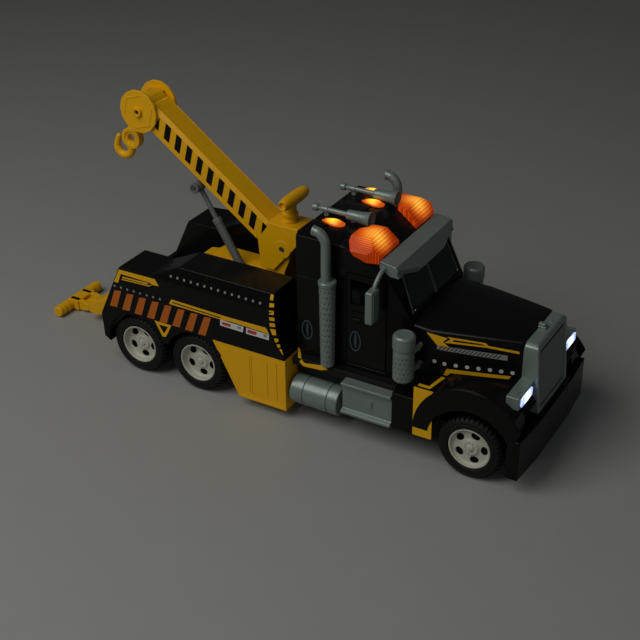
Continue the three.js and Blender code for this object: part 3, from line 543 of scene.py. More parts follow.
def rim_mesh(dish, start):
    """Drawn about the origin with its face towards +Z; dish is how deep the disc lies behind the lip."""
    level = 11.5 - dish
    disc = turned([(3.1, level - 2), (3.1, level + 0.9), (8.4, level + 0.9), (9.4, level), (17.8, level),
            (18.6, level + 0.5), (19.3, level + 1.8), (19.7, 11.0), (20.2, 11.4), (20.9, 11.5),
            (21.4, 11.1), (21.5, 10.2), (21.5, -12), (20.1, -12), (20.1, level - 2), (9.4, level - 2)],
        segments=72)
    holes = [prism("z", oval(*on_circle((0, 0), 13.8, a), 3.6, 4.6, 28, a), -5, 11)
             for a in turns(5, start)]
    disc = rounded(cut(disc, *holes), 0.35, 2, 40)
    # The walls of the holes and the disc's underside take painted shade.
    for face in disc.faces:
        spot = face.calc_center_median()
        if spot.z < level - 0.4 and 9.5 < math.hypot(spot.x, spot.y) < 19.5:
            face.material_index = 1
    hub = turned([(0, -1.3), (8.2, -1.3), (8.2, 1.3), (7.7, 1.8), (4.6, 1.8), (4.3, 1.5), (3.7, 1.5),
            (3.5, 2.0), (3.2, 2.8), (2.2, 3.3), (0, 3.4)], (0, 0, level))
    lugs = [dome((*on_circle((0, 0), 6.2, a), level + 1.75), 0.75, 0.9, segments=12)
            for a in turns(10)]
    # A disc behind the holes is painted dark, as shade seen through them.
    back = painted(turned([(3.1, level - 6), (3.1, level - 4), (20, level - 4), (20, level - 6)]), 1)
    return together([disc, hub, back, *lugs])


def make_wheels():
    for where, x in AXLES.items():
        rim = rim_mesh(*RIMS[where])
        for side, label in SIDES:
            name = f"{where}_{label}"
            body = f"{where}_wheels"
            turn = Matrix(((1, 0, 0, x), (0, 0, side, side * TYRE_Y), (0, 1, 0, AXLE_Z), (0, 0, 0, 1)))
            add_piece(f"{name}_tyre", [tyre_mesh(side, x)], [RUBBER], body, 28)
            add_piece(f"{name}_rim", [moved(rim, turn)], [CREAM, RECESS_SHADE], body, 30)


# ---- frame nodes taken over with rounded edges
def softened_node(node, width=0.45, segments=2):
    """The frame's own shape of a node, back in millimetres, with its edges softened."""
    bm = bmesh.new()
    bm.from_mesh(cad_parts[node].data)
    bmesh.ops.remove_doubles(bm, verts=bm.verts, dist=1e-6)
    bmesh.ops.scale(bm, vec=(1 / MM,) * 3, verts=bm.verts)
    bmesh.ops.translate(bm, vec=(-SEAM_X, 0, 0), verts=bm.verts)
    for layer in list(bm.loops.layers.uv):
        bm.loops.layers.uv.remove(layer)
    return rounded(clean(bm), width, segments)


def keep_node(node, material):
    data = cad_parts[node].data
    data.materials.clear()
    data.materials.append(material)


# ---- cab, sleeper, hood
CAB_CORNERS = [
    (0, 50, 209), (8, 50, 209), (20, 50, 203.5), (41, 49.5, 192.5), (56, 49, 184.5),
    (0, 64, 201), (8, 64, 200), (41, 63.5, 183), (52, 62.5, 177.5),
    (52, 64, 136), (75.5, 57, 136), (0, 64, 72), (52, 64, 72), (73, 57, 72),
]


def cab_hull(inset, low):
    points = []
    for x, y, z in CAB_CORNERS:
        px = x - inset if x > 50 else max(x, inset)
        pz = low if z == CAB_BOTTOM else z - inset
        points += [(px, y - inset, pz), (px, inset - y, pz)]
    return hull(points)


def make_cab():
    shell = cut(cab_hull(0, CAB_BOTTOM), cab_hull(WALL, CAB_BOTTOM - 1), box(8.5, 51.5, -70, 70, 76, 176),
                prism("x", [(-52.5, 140), (52.5, 140), (48.5, 181), (-48.5, 181)], 52, 90))
    # A drip rail runs above each door.
    rail = rounded(plate([(2, 181.4), (50, 181.4), (50, 179.2), (2, 179.2)], 63.4, 65.0), 0.5)
    add_piece("cab_shell", [rounded(shell, 0.7, 3), *both(rail)], [BLACK])

    keep_node("cab_interior", GREY)
    pane = common(plate([(71.7, 140.8), (72.7, 140.8), (56.8, 180.4), (55.8, 180.4)], -60, 60),
                  prism("x", [(-52, 139), (52, 139), (48, 182), (-48, 182)], 50, 90))
    parts = [rounded(pane, 0.15, 1)]
    for y in (-1.9, 1.1):
        strip = plate([(72.4, 141.2), (73.2, 141.2), (57.4, 180.2), (56.6, 180.2)], y, y + 0.8)
        parts.append(painted(rounded(strip, 0.15, 1), 1))
    for side in (NEAR, FAR):
        path = [(72.6, 49.6 * side, 141.6), (64.7, 47.9 * side, 161), (57.0, 46.2 * side, 180)]
        parts += [painted(tube(path, 0.45, 10, 2), 1),
            painted(dome((73.0, 47.0 * side, 144.2), 1.0, 0.8, "x", 14), 2)]
    add_piece("windshield", parts, [GLASS, GREY, PRINT_WHITE])


def emblem(x, z, rx, rz):
    """A plain oval plaque: a ring round an upright lens."""
    ring = cut(plate(oval(x, z, rx, rz, 40), CAB_HALF - 0.4, CAB_HALF + 0.7),
               plate(oval(x, z, rx - 1.5, rz - 1.7, 40), CAB_HALF - 2, CAB_HALF + 2))
    lens = turned([(0, -0.4), (1, -0.4), (1, 0), (0.8, 0.5), (0.4, 0.8), (0, 0.9)], axis="y", segments=32)
    place = Matrix.Translation((x, CAB_HALF, z)) @ Matrix.Diagonal((1.7, 1, rz - 3.2, 1))
    return painted(together([rounded(ring, 0.3), moved(lens, place)]), 1)


def make_doors():
    door = plate([(9, 76.5), (51, 76.5), (51, 175.5), (9, 175.5)], CAB_HALF - WALL + 0.2, CAB_HALF)
    door = cut(door, plate([(13, 143), (38, 145), (42, 170), (13, 170)], 50, 70),
               plate(oval(18.6, 103.1, 5, 10), CAB_HALF - 0.6, CAB_HALF + 1),
               plate([(12, 136.6), (48, 136.6), (48, 136.0), (12, 136.0)], CAB_HALF - 0.5, CAB_HALF + 1))
    # A raised frame round the window, an oval plaque and the door handle.
    outer = [(11, 141), (39.8, 143.1), (44.4, 172), (11, 172)]
    inner = [(13.2, 143.2), (37.9, 145.2), (41.8, 169.8), (13.2, 169.8)]
    surround = cut(plate(outer, CAB_HALF - 0.4, CAB_HALF + 0.7), plate(inner, 50, 70))
    handle = box(13, 24, CAB_HALF - 0.5, CAB_HALF + 1.6, 125.6, 128.6)
    plaque = emblem(18.6, 103.1, 6.3, 11.5)
    parts = [rounded(door, 0.4), rounded(surround, 0.3), plaque, rounded(handle, 0.6, 3)]
    for side, label in SIDES:
        name = f"{label}_door"
        add_piece(name, [mirrored(part, side) for part in parts], [BLACK, PLAQUE], name)


def roof_section(inset, low):
    return [(-CAB_HALF + inset, low), (CAB_HALF - inset, low), (CAB_HALF - inset, 201 - inset),
            (50 - inset, 209 - inset), (-50 + inset, 209 - inset), (-CAB_HALF + inset, 201 - inset)]


def make_sleeper():
    back = -47
    shell = prism("x", roof_section(0, CAB_BOTTOM), back, -0.3)
    tools = [prism("x", roof_section(WALL, CAB_BOTTOM - 1), back + WALL, 1),
             plate([(back - 1, 202), (back + 7, 210), (back - 1, 210)], -70, 70)]
    tools += both(*(box(back - 1, 1, CAB_HALF - 0.5, 70, z0, z1)
            for z0, z1 in ((158.4, 159.2), (198.9, 199.6))),
        plate(oval(-35.1, 100.2, 5, 9.6), CAB_HALF - 0.6, CAB_HALF + 1))
    knobs = [dome((-35.3, CAB_HALF - 0.1, z), 1.4, 0.9, "y") for z in (183.7, 173.7)]
    parts = [rounded(cut(shell, *tools), 0.6, 3), *both(*knobs, emblem(-35.1, 100.2, 6.3, 11.1))]
    add_piece("sleeper_shell", parts, [BLACK, PLAQUE])


HOOD_STATIONS = [(76, 56.5, 134.5, 141), (92, 55, 132, 140.8), (110, 52.5, 133, 140),
    (150, 43.5, 133.8, 138), (178.6, 36.5, 134.4, 136.5)]
HOOD_EDGE = 2.2
LAMP_OUTER, LAMP_LOW, LAMP_HIGH = 73, 84.5, 97.5
GRILLE_HALF = 36.8


def hood_side(x):
    """Half the width of the hood at x."""
    for (x0, half0, *_), (x1, half1, *_) in zip(HOOD_STATIONS, HOOD_STATIONS[1:]):
        if x <= x1:
            return half0 + (half1 - half0) * (x - x0) / (x1 - x0)
    return HOOD_STATIONS[-1][1]


def hood_loft(inset, low):
    """The hood above the fenders, shrunk on all sides by the inset."""
    rings = []
    for x, half, edge, crown in HOOD_STATIONS:
        right = [(half, low + inset), (half, edge - HOOD_EDGE), (half - HOOD_EDGE, edge),
            (half * 0.6, crown - 1.6)]
        right = [(y - inset, z - inset) for y, z in right]
        left = [(-y, z) for y, z in reversed(right)]
        rings.append([(x, y, z) for y, z in right + [(0, crown - inset)] + left])
    return loft(rings)


def make_hood():
    hollow = common(hood_loft(WALL + 0.5, 50), box(79, 176, -46, 46, 40, 145))
    cover = rounded(cut(hood_loft(0, 62), hollow), 1.1, 3, 24)
    # The gutter beside the hood has a flat floor below the crest of the fender.
    crests = arc(*FENDER, 59, 38, 57, 10) + arc(*FENDER, 59, 123, 142, 10)
    shelf = plate([(190, 62)] + crests + [(100, 62)], 30, 61)
    crest = arc(*FENDER, 59, 43, 176, 60)
    face = plate([(196, 60.4)] + crest + [(91.5, 32), (110, 32), (110, 60.4)], 60, 84)
    block = plate([(69, 31), (112, 31), (112, 86), (91.6, 86), (91.6, 71.4), (69, 71.4)], 56, 84)
    inside = [(71.5, 28), (109.5, 28), (109.5, 60), (100, 83), (94, 83), (94, 68.5), (71.5, 68.5)]
    fender = cut(fused(face, shelf, block), bar(AXLES["front"], AXLE_Z, 42, 48.9, 90, 96),
                 plate(inside, 58.5, 81.5),
                 box(178.6, 210, 0, GRILLE_HALF + 0.3, 60, 145),
                 box(178.6, 210, 0, LAMP_OUTER + 0.3, LAMP_LOW - 0.3, 145))
    # A raised band round the wheel opening.
    band = plate(arc(*FENDER, 58.4, 30, 178.9, 60) + arc(150, AXLE_Z, 43.4, 169.3, 18, 60), 83.2, 84.9)
    add_piece("hood", [cover, *both(rounded(fender, 0.9, 3, 24), rounded(band, 0.7, 3))], [BLACK])


def make_grille():
    back = 178.9
    half = GRILLE_HALF
    front = [(-half, 62), (half, 62), (half, 127), (35, 131), (31, 133.5), (-31, 133.5), (-35, 131),
        (-half, 127)]
    side = [(back, 62), (199, 62), (193.2, 131), (190.5, 133.5), (back, 133.5)]
    body = common(plate(side, -half, half), prism("x", front, 170, 210))
    body = cut(body, plate([(210, 66), (195.2, 66), (190.2, 126.5), (210, 126.5)], -31.5, 31.5),
               plate([(170, 66), (192.5, 66), (187.5, 126.5), (170, 126.5)], -31.5, 31.5))
    housing = cut(rounded(box(back, 192.2, half - 1, LAMP_OUTER, LAMP_LOW, LAMP_HIGH), 1.0, 3),
                  box(190.8, 195, 43.2, 69.3, 86.7, 95.6))
    brow = rounded(prism("z", [(181, 60), (189, 60), (187, 66.5), (183, 66.5)], 97.2, 98.3), 0.4)
    parts = [rounded(body, 1.3, 3), *both(housing, brow)]
    for low, high, y, x in ((133.2, 135.6, 3.6, 187), (135.4, 138, 2.5, 185.6)):
        parts.append(rounded(box(back, x, -y, y, low, high), 0.7, 3))
    parts.append(dome((186, 14, 133.4), 2.4, 0.8, segments=20))
    add_piece("grille_frame", parts, [SILVER])

    # The backing behind the bars is painted dark, as shade in the gaps between the bars and round them.
    backing = plate([(195.6, 66.4), (196.4, 66.4), (191.5, 126.1), (190.7, 126.1)], -31.1, 31.1)
    ribs = [painted(rounded(backing, 0.1, 1), 1)]
    count = 25
    pitch = 58.6 / count
    for i in range(count):
        y = -29.3 + pitch * (i + 0.22)
        rib = plate([(196.0, 68.8), (197.6, 68.8), (193.3, 123.6), (191.6, 123.6)], y, y + pitch * 0.56)
        ribs.append(rounded(rib, 0.3))
    add_piece("grille_bars", ribs, [SILVER, RECESS_SHADE])

    ridges = [box(193.5, 194.0, y - 0.4, y + 0.4, 88, 94.4) for y in (49.8, 56.2, 62.7)]
    lens = rounded(box(191.2, 193.9, 43.4, 69.1, 86.9, 95.4), 0.8, 3)
    add_pair("headlight_lens", [lens, *ridges], HEADLIGHT)


# ---- roof gear
def make_visor():
    top = 193.5
    visor = plate([(40.5, top - 1.5), (42, top), (58.5, 191), (67.5, 177), (66, 174.5), (64.2, 177),
            (57.5, 187.6), (40.5, 191.8)], -60, 60)
    above = [(38, -60), (60, -60), (69, -12), (69, 12), (60, 60), (38, 60)]
    visor = common(visor, prism("z", above, 170, 200))
    cheek = [(41, 180), (41, 192), (58.5, 188), (61.5, 179.5)]
    visor = cut(fused(visor, plate(cheek, 49, 60), plate(cheek, -60, -49)), cab_hull(-0.3, CAB_BOTTOM))
    arm = tube([(46, 58.5, 188.2), (45.5, 66, 184.5), (44.8, 74, 177.5), (44.2, 78, 169)], 2.2, 20)
    mirror = rounded(box(40, 48, 72, 87, 139.5, 173.5), 1.8, 4)
    pane = painted(rounded(box(39.7, 40.4, 73.8, 85.2, 141.5, 171.5), 0.3), 1)
    crease = rounded(box(46, 48.6, 74, 85, 141.8, 171.2), 0.9, 3)
    ball = turned([(0, -2.8), (2, -2), (2.8, 0), (2, 2), (0, 2.8)], (46, 59.5, 187.5), "z", 20)
    parts = [rounded(visor, 0.7, 3, 12), *both(arm, mirror, pane, crease, ball)]
    add_piece("sun_visor", parts, [SILVER, GLASS])


def make_beacons():
    side = [(6, 206), (7, 209.8), (14, 212.6), (27, 212), (40.2, 197), (40.2, 188), (16, 195.5)]
    above = [(7, 37), (15.4, 36), (15.8, 25), (40.2, 18), (40.2, 57), (30, 66), (13, 66), (7, 57)]
    front = [(17, 180), (66, 180), (66, 200), (52, 210.5), (34, 214), (20, 209), (17, 204)]
    body = common(plate(side, 10, 70), prism("z", above, 180, 220), prism("x", front, 0, 45))
    add_pair("beacon", [cut(rounded(body, 1.0, 3, 20), cab_hull(-0.3, CAB_BOTTOM))], BEACON)


def teardrop(cx, cy, scale, z):
    """Outline of a marker lens, pointed at the rear and round at the front."""
    return [(cx + 12.5 * scale * math.cos(a), cy + 7.5 * scale * math.sin(a) * abs(math.cos(a / 2)), z)
            for a in turns(40, math.pi / 40)]


def make_marker_lights():
    low = 209.3
    strip = prism("z", [(-27, -47), (-23, -47), (-6, -16), (-6, 16), (-23, 47), (-27, 47), (-12, 16),
            (-12, -16)], low, low + 0.8)
    parts = [painted(rounded(strip, 0.2, 1), 3)]
    bezel = [(0.97, 0.2), (1.0, 0.5), (1.0, 1.5), (0.96, 1.9), (0.88, 2.0), (0.84, 1.6)]
    crown = [(0.84, 1.4), (0.82, 2.3), (0.72, 3.4), (0.54, 4.3), (0.30, 4.9)]
    for index, (x, y, _z) in enumerate(MARKER_SPOTS.values()):
        for cy in (-y, y):
            rim = loft([teardrop(x, cy, k, low + h) for k, h in bezel])
            lens = loft([teardrop(x, cy, k, low + h) for k, h in crown], (x, cy, low + 5.1))
            parts += [painted(rim, 2), painted(lens, index)]
    add_piece("marker_lights", parts, [*MARKERS, AMBER_RIM, BLACK], smooth=50)


def make_horns():
    y, z = 27.3, 215.8
    profile = [(0, 0), (2.8, 0), (3.5, 0.7), (3.6, 4.8), (3.0, 5.6), (1.9, 6.4), (1.9, 9), (2.5, 9.8),
        (2.6, 37.4), (4.6, 38), (5.1, 38.8), (5.3, 44), (5.7, 51), (6.4, 57), (7.2, 61), (7.9, 62.8),
        (8.0, 63.5), (7.2, 63.5), (6.0, 60), (4.6, 54), (3.2, 47), (1.6, 42), (0, 41.6)]
    parts = [turned(profile, (-48.6, y, z), "x", 40)]
    for x in (-33.5, -4):
        foot = rounded(box(x - 2.2, x + 2.2, y - 2, y + 2, 209.3, 214.6), 0.5)
        parts += [foot, turned([(2.3, -1.4), (3.2, -1.4), (3.2, 1.4), (2.3, 1.4)], (x, y, z), "x", 32)]
    add_pair("horn", parts, SILVER, 40)


def dimples(centre, radius, around, heights, size, start=0.0):
    """Small balls that cut round dimples in a standing sleeve."""
    ball = [(0, -size), (0.7 * size, -0.7 * size), (size, 0), (0.7 * size, 0.7 * size), (0, size)]
    balls = []
    for row, z in enumerate(heights):
        for a in turns(around, start + math.pi / around * (row % 2)):
            balls.append(turned(ball, (*on_circle(centre, radius, a), z), segments=8))
    return together(balls)


def make_stacks():
    x, y = -8.6, 73.4
    spot = (x + 1.6, y, 0)
    sleeve = turned([(0, 74), (6.5, 74), (7, 74.6), (8.15, 163), (0, 163)], spot, segments=64)
    # Each row of dimples follows the sleeve's taper.
    rows = [dimples(spot[:2], 7.4 + 0.081 * i, 12, [79.5 + 6 * i], 1.5, 0.26 * (i % 2)) for i in range(14)]
    collar = turned([(0, 162), (8.4, 162), (8.9, 162.7), (8.9, 166.2), (8.3, 167), (0, 167)], spot)
    pipe = tube([(x, y, 150), (x, y, 180), (x, y, 203), (x - 2.2, y, 210.2), (x - 7.2, y, 215),
            (x - 13, y, 216)], 4.8, 36)
    lip = turned([(0, 0.8), (3.9, 0.8), (4.1, -0.3), (5.1, -0.3), (5.3, 0.4), (5.1, 1.6), (0, 1.6)],
                 (x - 12.6, y, 216), "x", 36)
    clamps = [rounded(box(x - 1.4, x + 4.6, CAB_HALF + 0.3, y - 5, z, z + 5), 0.4) for z in (92, 142)]
    add_pair("exhaust_stack", [cut(sleeve, together(rows)), collar, pipe, lip, *clamps], SILVER, 36)


def make_air_cleaners():
    centre = (77.8, 78.7)
    can = turned([(0, 85.5), (6.8, 85.5), (7.6, 85.8), (9.8, 88), (10.2, 88.8), (10.2, 117.8), (9.9, 118.4),
            (9.8, 118.8), (9.8, 120.8), (10.8, 121.6), (11, 122.2), (11, 132.6), (10.6, 134.2),
            (9.4, 135.6), (7.8, 136), (7.2, 135.6), (0, 135.6)], centre + (0,), segments=80)
    parts = [cut(can, dimples(centre, 10.5, 16, [92.2 + 5.2 * i for i in range(5)], 1.5))]
    for z in (115.5, 95.5):
        washer = turned([(2.2, 62), (3.1, 62.2), (3.1, 65.8), (2.2, 66)], (84.8, 0, z), "y", 28)
        parts += [bar(84.8, z, 2.3, 56.5, 74, 28), washer]
    add_pair("air_cleaner", parts, SILVER, 36)


# ---- side pieces
def make_tanks():
    r = 15.3
    profile = [(0, 0.5), (r - 2.6, 0.5), (r - 1.4, 0), (r - 0.5, 0.5), (r, 1.6)]
    for h in (15, 42):
        profile += [(r, h - 0.9), (r - 0.3, h - 0.6), (r - 0.9, h - 0.5), (r - 0.9, h + 0.5),
            (r - 0.3, h + 0.6), (r, h + 0.9)]
    profile += [(r, 52.4), (r - 0.5, 53.5), (r - 1.4, 54), (0, 54)]
    add_pair("fuel_tank", [turned(profile, (-45.5, 69.7, 33.3), "x", 80)], SILVER, 34)


def make_tool_boxes():
    top = 66
    section = [(CAB_HALF + 0.3, 31), (86, 31), (86, 34), (81.5, 35.5), (81.5, top - 4.5), (85.5, top - 3),
               (85.5, top), (CAB_HALF + 0.3, top)]
    add_pair("tool_box", [rounded(prism("x", section, 14, 68.3), 0.6, 3),
                          rounded(box(41.4, 46.6, 81, 82.8, 44, 52), 0.5),
                          rounded(box(40.2, 47.8, 81, 82.0, 42.8, 53.2), 0.3)], SILVER)


def make_skirts():
    skirt = plate([(-135.6, 69.5), (-49, 69.5), (-49, 11), (-105.5, 11)], 54, BODY_HALF)
    # The panel sits a little behind its border, with upright grooves.
    tools = [plate([(-133, 72), (-53, 72), (-53, 14), (-103.5, 14)], 50, BODY_HALF - WALL),
             plate([(-133.4, 71), (-51.6, 71), (-51.6, 14), (-104.3, 14)], BODY_HALF - 0.7, BODY_HALF + 1)]
    tools += [box(x, x + 0.5, BODY_HALF - 1.0, BODY_HALF + 1, 19, 63) for x in (-92, -89.6, -71, -60)]
    feet = [rounded(box(x, x + 3.2, BODY_HALF - 0.9, BODY_HALF - 0.3, 15.2, 16.4), 0.2, 1)
            for x in (-98 + 6.2 * i for i in range(7))]
    add_pair("side_skirt", [rounded(cut(skirt, *tools), 0.35), *feet], YELLOW)


def make_pods():
    outer = BODY_HALF + 1
    inner = WELL_HALF - 1
    wheels = (AXLES["middle"], AXLES["rear"])
    pod = plate([(-250, POD_TOP), (POD_BACK, 61), (-278.5, 33), (-271.5, 29), (-50, 29), (-50, 74.5),
            (-58.2, 98.5), (POD_FRONT, HUMP_TOP), (-176, HUMP_TOP), (-210, POD_TOP)], WELL_HALF, BODY_HALF)
    tools = [prism("x", [(86, 119), (79, 141), (86, 141)], POD_BACK - 1, -40)]
    tools += [bar(x, AXLE_Z, 37, LEDGE_HALF + 0.3, outer, 96) for x in wheels]
    tools += [box(-215, -178, inner, outer, 20, 47),
              plate([(-136.5, 69.8), (-40, 69.8), (-40, 20), (-136.5, 20)], inner, outer),
              box(-290, -40, inner, LEDGE_HALF + 0.3, 20, 66.3)]
    # Low raised rims run round the wheel arches.
    parts = [rounded(cut(pod, *tools), 1.2, 3, 12)]
    for x in wheels:
        rim = arc(x, AXLE_Z, 39.0, 32, 148, 48) + arc(x, AXLE_Z, 37.1, 148, 32, 48)
        parts.append(rounded(plate(rim, 84.4, 85.5), 0.35))
    add_pair("rear_pod", parts, BLACK)


# ---- boom and hook
def along(u, v):
    c, s = math.cos(BOOM_ANGLE), math.sin(BOOM_ANGLE)
    return (PIVOT[0] - u * c + v * s, PIVOT[1] + u * s + v * c)


def boom_plate(points, low, high):
    """A plate drawn in the boom's own (distance from the hinge, height) and tilted with it."""
    return plate([along(u, v) for u, v in points], low, high)


def make_turret():
    low = 66.3
    base = plate([(-214, low), (-214, 101), (-206, 111), (-196, 112.5), (-189, 117.5), (-108, 117.5),
            (-108, low)], -22, 22)
    lug = plate([(-117, 116), (-108, 146)] + arc(*PIVOT, 10, 150, 0, 20)
                + [(-87.4, 138), (-92.9, 125), (-93.4, 112), (-93.4, low), (-117, low)], -11.8, 11.8)
    turret = cut(fused(base, lug), bar(*PIVOT, 3.3, -12, 12),
                 plate([(-122, 77), (-128, 119), (-168, 119), (-142, 77)], LIFT_Y - 7, LIFT_Y + 7))
    foot = bar(*LIFT_FOOT, 2.5, LIFT_Y - 8, LIFT_Y + 8)
    add_piece("turret_base", [rounded(turret, 0.6, 3), foot], [YELLOW])


def make_boom():
    inside = 12.4
    outer = [(26, BOOM_BOTTOM), (5.3, -36.3), (-6.9, -27.3), (-9.4, 17.5), (0.5, 32.6), (29.5, BOOM_TOP),
             (196, BOOM_TOP), (200, 9), (200, BOOM_BOTTOM)]
    inner = [(26, -60), (-60, -60), (-6.2, 15.5), (1.5, 28.6), (28.5, BOOM_TOP - 3), (230, BOOM_TOP - 3),
        (230, -60)]
    reel = along(*REEL)
    # The head is a drum level with the top plate, and both top edges are chamfered.
    head = BOOM_TOP - REEL[1]
    boom = fused(boom_plate(outer, -BOOM_HALF, BOOM_HALF), bar(*reel, head, -BOOM_HALF, BOOM_HALF, 80))
    low, flat = BOOM_TOP - BOOM_CHAMFER, BOOM_HALF - BOOM_CHAMFER
    corner = [(BOOM_HALF + 1, low), (BOOM_HALF, low), (flat, BOOM_TOP), (flat, BOOM_TOP + 1),
              (BOOM_HALF + 1, BOOM_TOP + 1)]
    edge = moved(prism("x", corner, -REEL[0], -29.5),
                 Matrix.Translation((PIVOT[0], 0, PIVOT[1])) @ Matrix.Rotation(BOOM_ANGLE, 4, "Y"))
    u, v = LIFT_PIN
    top = BOOM_TOP - 2
    lug = boom_plate([(u - 7, top), (u - 7, v), (u, v - 7), (u + 7, v), (u + 7, top)], 2, 10)
    boom = cut(fused(boom, lug), boom_plate(inner, -inside, inside),
        bar(*reel, head - WALL, -inside, inside, 64), *both(edge),
        bar(*along(*LIFT_PIN), 4.3, -20, 20), bar(*PIVOT, 3.3, -20, 20),
        bar(*reel, 4.3, -20, 20))
    # A lip along the lower edge of each side plate, a rib at the root and a boss round the hinge.
    lip = [(28, BOOM_BOTTOM), (28, -10.4), (184, -10.4), (184, BOOM_BOTTOM)]
    rib = [(20.5, 17.6), (20.5, 18.8), (1, 18.8), (1, 17.6)]
    trim = [rounded(boom_plate(outline, BOOM_HALF - 0.3, BOOM_HALF + 0.5), 0.3) for outline in (lip, rib)]
    boss = turned([(3.3, 15.2), (3.3, 15.7), (9.3, 15.7), (10, 15.2)], (PIVOT[0], 0, PIVOT[1]), "y")
    parts = [rounded(boom, 0.6, 3, 24), bar(*HOOK_PIN, 2, -13, 13), *both(*trim, boss)]
    add_piece("boom", parts, [YELLOW], "boom")
    keep_node("boom_hinge_pin", STEEL)
    keep_node("lift_pin", GREY)


def make_reel():
    spot = along(*REEL)
    rx, rz = spot
    # The rim is scalloped and the hub has a small hole.
    scallops = 14
    outline = [on_circle(spot, 22.9 - 0.4 * (0.5 - 0.5 * math.cos(scallops * a)) ** 2, a)
        for a in turns(scallops * 8)]
    disc = rounded(plate(outline, BOOM_HALF + 0.3, 18.5), 0.6, 3)
    ridge = cut(plate([on_circle(spot, 19, a) for a in turns(6, 0.3)], 18.2, 18.9),
                plate([on_circle(spot, 19 * 0.94, a) for a in turns(6, 0.3)], 18, 19.2))
    hub = turned([(0, 18), (5.6, 18), (5.2, 20.4), (4.6, 21.3), (2.9, 21.4), (2.5, 20.9), (2.4, 19.0),
            (0, 19.0)], (rx, 0, rz), "y", 40)
    # The floor of the hub's hole is painted dark, as shade in the hole.
    for face in hub.faces:
        middle = face.calc_center_median()
        if middle.y < 19.2 and math.hypot(middle.x - rx, middle.z - rz) < 2.2:
            face.material_index = 1
    # Rounded ribs lie side by side on the drum.
    rib = [(8, -1.1), (9.2, -0.6), (9.6, 0), (9.2, 0.6), (8, 1.1)]
    ribs = [turned(rib, (rx, -9.2 + 2.3 * i, rz), "y", 40) for i in range(9)]
    parts = [bar(*spot, 4, -17, 17), bar(*spot, 8, -10, 10), *both(disc, ridge, hub), *ribs]
    add_piece("winch_reel", parts, [YELLOW, RECESS_SHADE], "winch", 36)


def make_grip():
    x, z = -88.5, 203.5
    post = turned([(0, 179.1), (7.9, 179.1), (7.5, 180.4), (7.0, 186), (6.6, 194), (6.4, z), (0, z)],
        (-92, 0, 0))
    grip = turned([(0, -18.5), (3.1, -18.5), (3.3, -20.7), (4.3, -21.2), (5.0, -20.4), (6.0, -17),
            (6.7, -11), (7.0, 0), (6.9, 12), (6.3, 19), (5.4, 22.8), (4.2, 25.2), (2.4, 26.3), (0, 26.6)],
        (x, 0, z), "y")
    collar = turned([(6.6, 184.4), (8.2, 184.8), (8.4, 186.4), (8.2, 188), (6.4, 188.4)], (-92, 0, 0))
    add_piece("boom_grip", [post, grip, collar], [YELLOW], "boom", 40)


def make_hook():
    x, z = ring = (-285.5, 230.4)
    disc = cut(bar(*ring, 11.8, -4.4, 4.4, 64), bar(*ring, 4.6, -9, 9),
        bar(*ring, 7.4, -9, -3.2, 48), bar(*ring, 7.4, 3.2, 9, 48))
    eye = [(HOOK_PIN[0] - 4, HOOK_PIN[1])] + arc(*HOOK_PIN, 4.6, 150, 20, 14)
    strap = cut(plate(eye + [(x + 6, z + 8), (x - 5, z + 9)], -3, 3), bar(*HOOK_PIN, 2.3, -5, 5))
    bend = [(u, 0, v) for u, v in arc(-297.5, 218, 9.6, 15, -190, 9)]
    path = [(x - 0.5, 0, z - 7)] + bend + [(-304, 0, 228.5)]
    # The crook gets thinner over the last part of its path.
    last = len(smooth_path(path, 6)) - 1
    radii = [4.3 - 1.4 * max(0.0, (i / last - 0.72) / 0.28) ** 1.5 for i in range(last + 1)]
    tip = turned([(0, -2.6), (1.6, -2.2), (2.6, -0.9), (2.9, 0), (2.6, 0.9), (1.6, 2.2), (0, 2.6)],
        (-304, 0, 228.8), "y", 24)
    parts = [rounded(disc, 0.8, 3), rounded(strap, 0.6), tube(path, radii, 24, 6), tip]
    add_piece("hook", parts, [YELLOW], "hook", 40)


def make_lift_cylinder():
    pin = along(*LIFT_PIN)
    reach = Vector((pin[0] - LIFT_FOOT[0], 0, pin[1] - LIFT_FOOT[1]))
    end = reach.length
    lean = math.atan2(reach.x, reach.z)
    stand = Matrix.Translation((LIFT_FOOT[0], LIFT_Y, LIFT_FOOT[1])) @ Matrix.Rotation(lean, 4, "Y")
    barrel = [turned([(0, 3), (4.2, 3), (4.5, 3.4), (4.5, 84), (4.9, 84.5), (4.9, 89.3), (4.4, 90), (3, 90),
                      (3, 13), (0, 13)], segments=40),
              rounded(cut(bar(0, 0, 6.5, -6, 6), bar(0, 0, 2.8, -8, 8)), 0.5),
              turned([(4.4, 20), (5, 20.3), (5, 22.7), (4.4, 23)], segments=40)]
    add_piece("lift_barrel", [moved(part, stand) for part in barrel], [GREY], "lift_barrel", 36)
    head = cut(bar(0, end, 5.6, -10, 3.6), bar(0, end, 3.6, -12, -8.6))
    rod = [turned([(0, 36), (2.6, 36), (2.6, end - 3), (0, end - 3)], segments=36), rounded(head, 0.5),
           turned([(5.3, -5), (5.9, -4.7), (5.9, -4.1), (5.3, -3.8)], (0, 0, end), "y", 40),
           turned([(0, -9), (2.8, -9), (3.0, -8.6), (3.0, -8.2), (0, -8.2)], (0, 0, end), "y", 24)]
    # The screw in the head has a cross in it, drawn as thin dark bars painted as the shade of its slots.
    for x, z in ((2.2, 0.45), (0.45, 2.2)):
        rod.append(painted(box(-x, x, -9.15, -8.9, end - z, end + z), 1))
    add_piece("lift_rod", [moved(part, stand) for part in rod], [GREY, RECESS_SHADE], "lift_rod", 36)


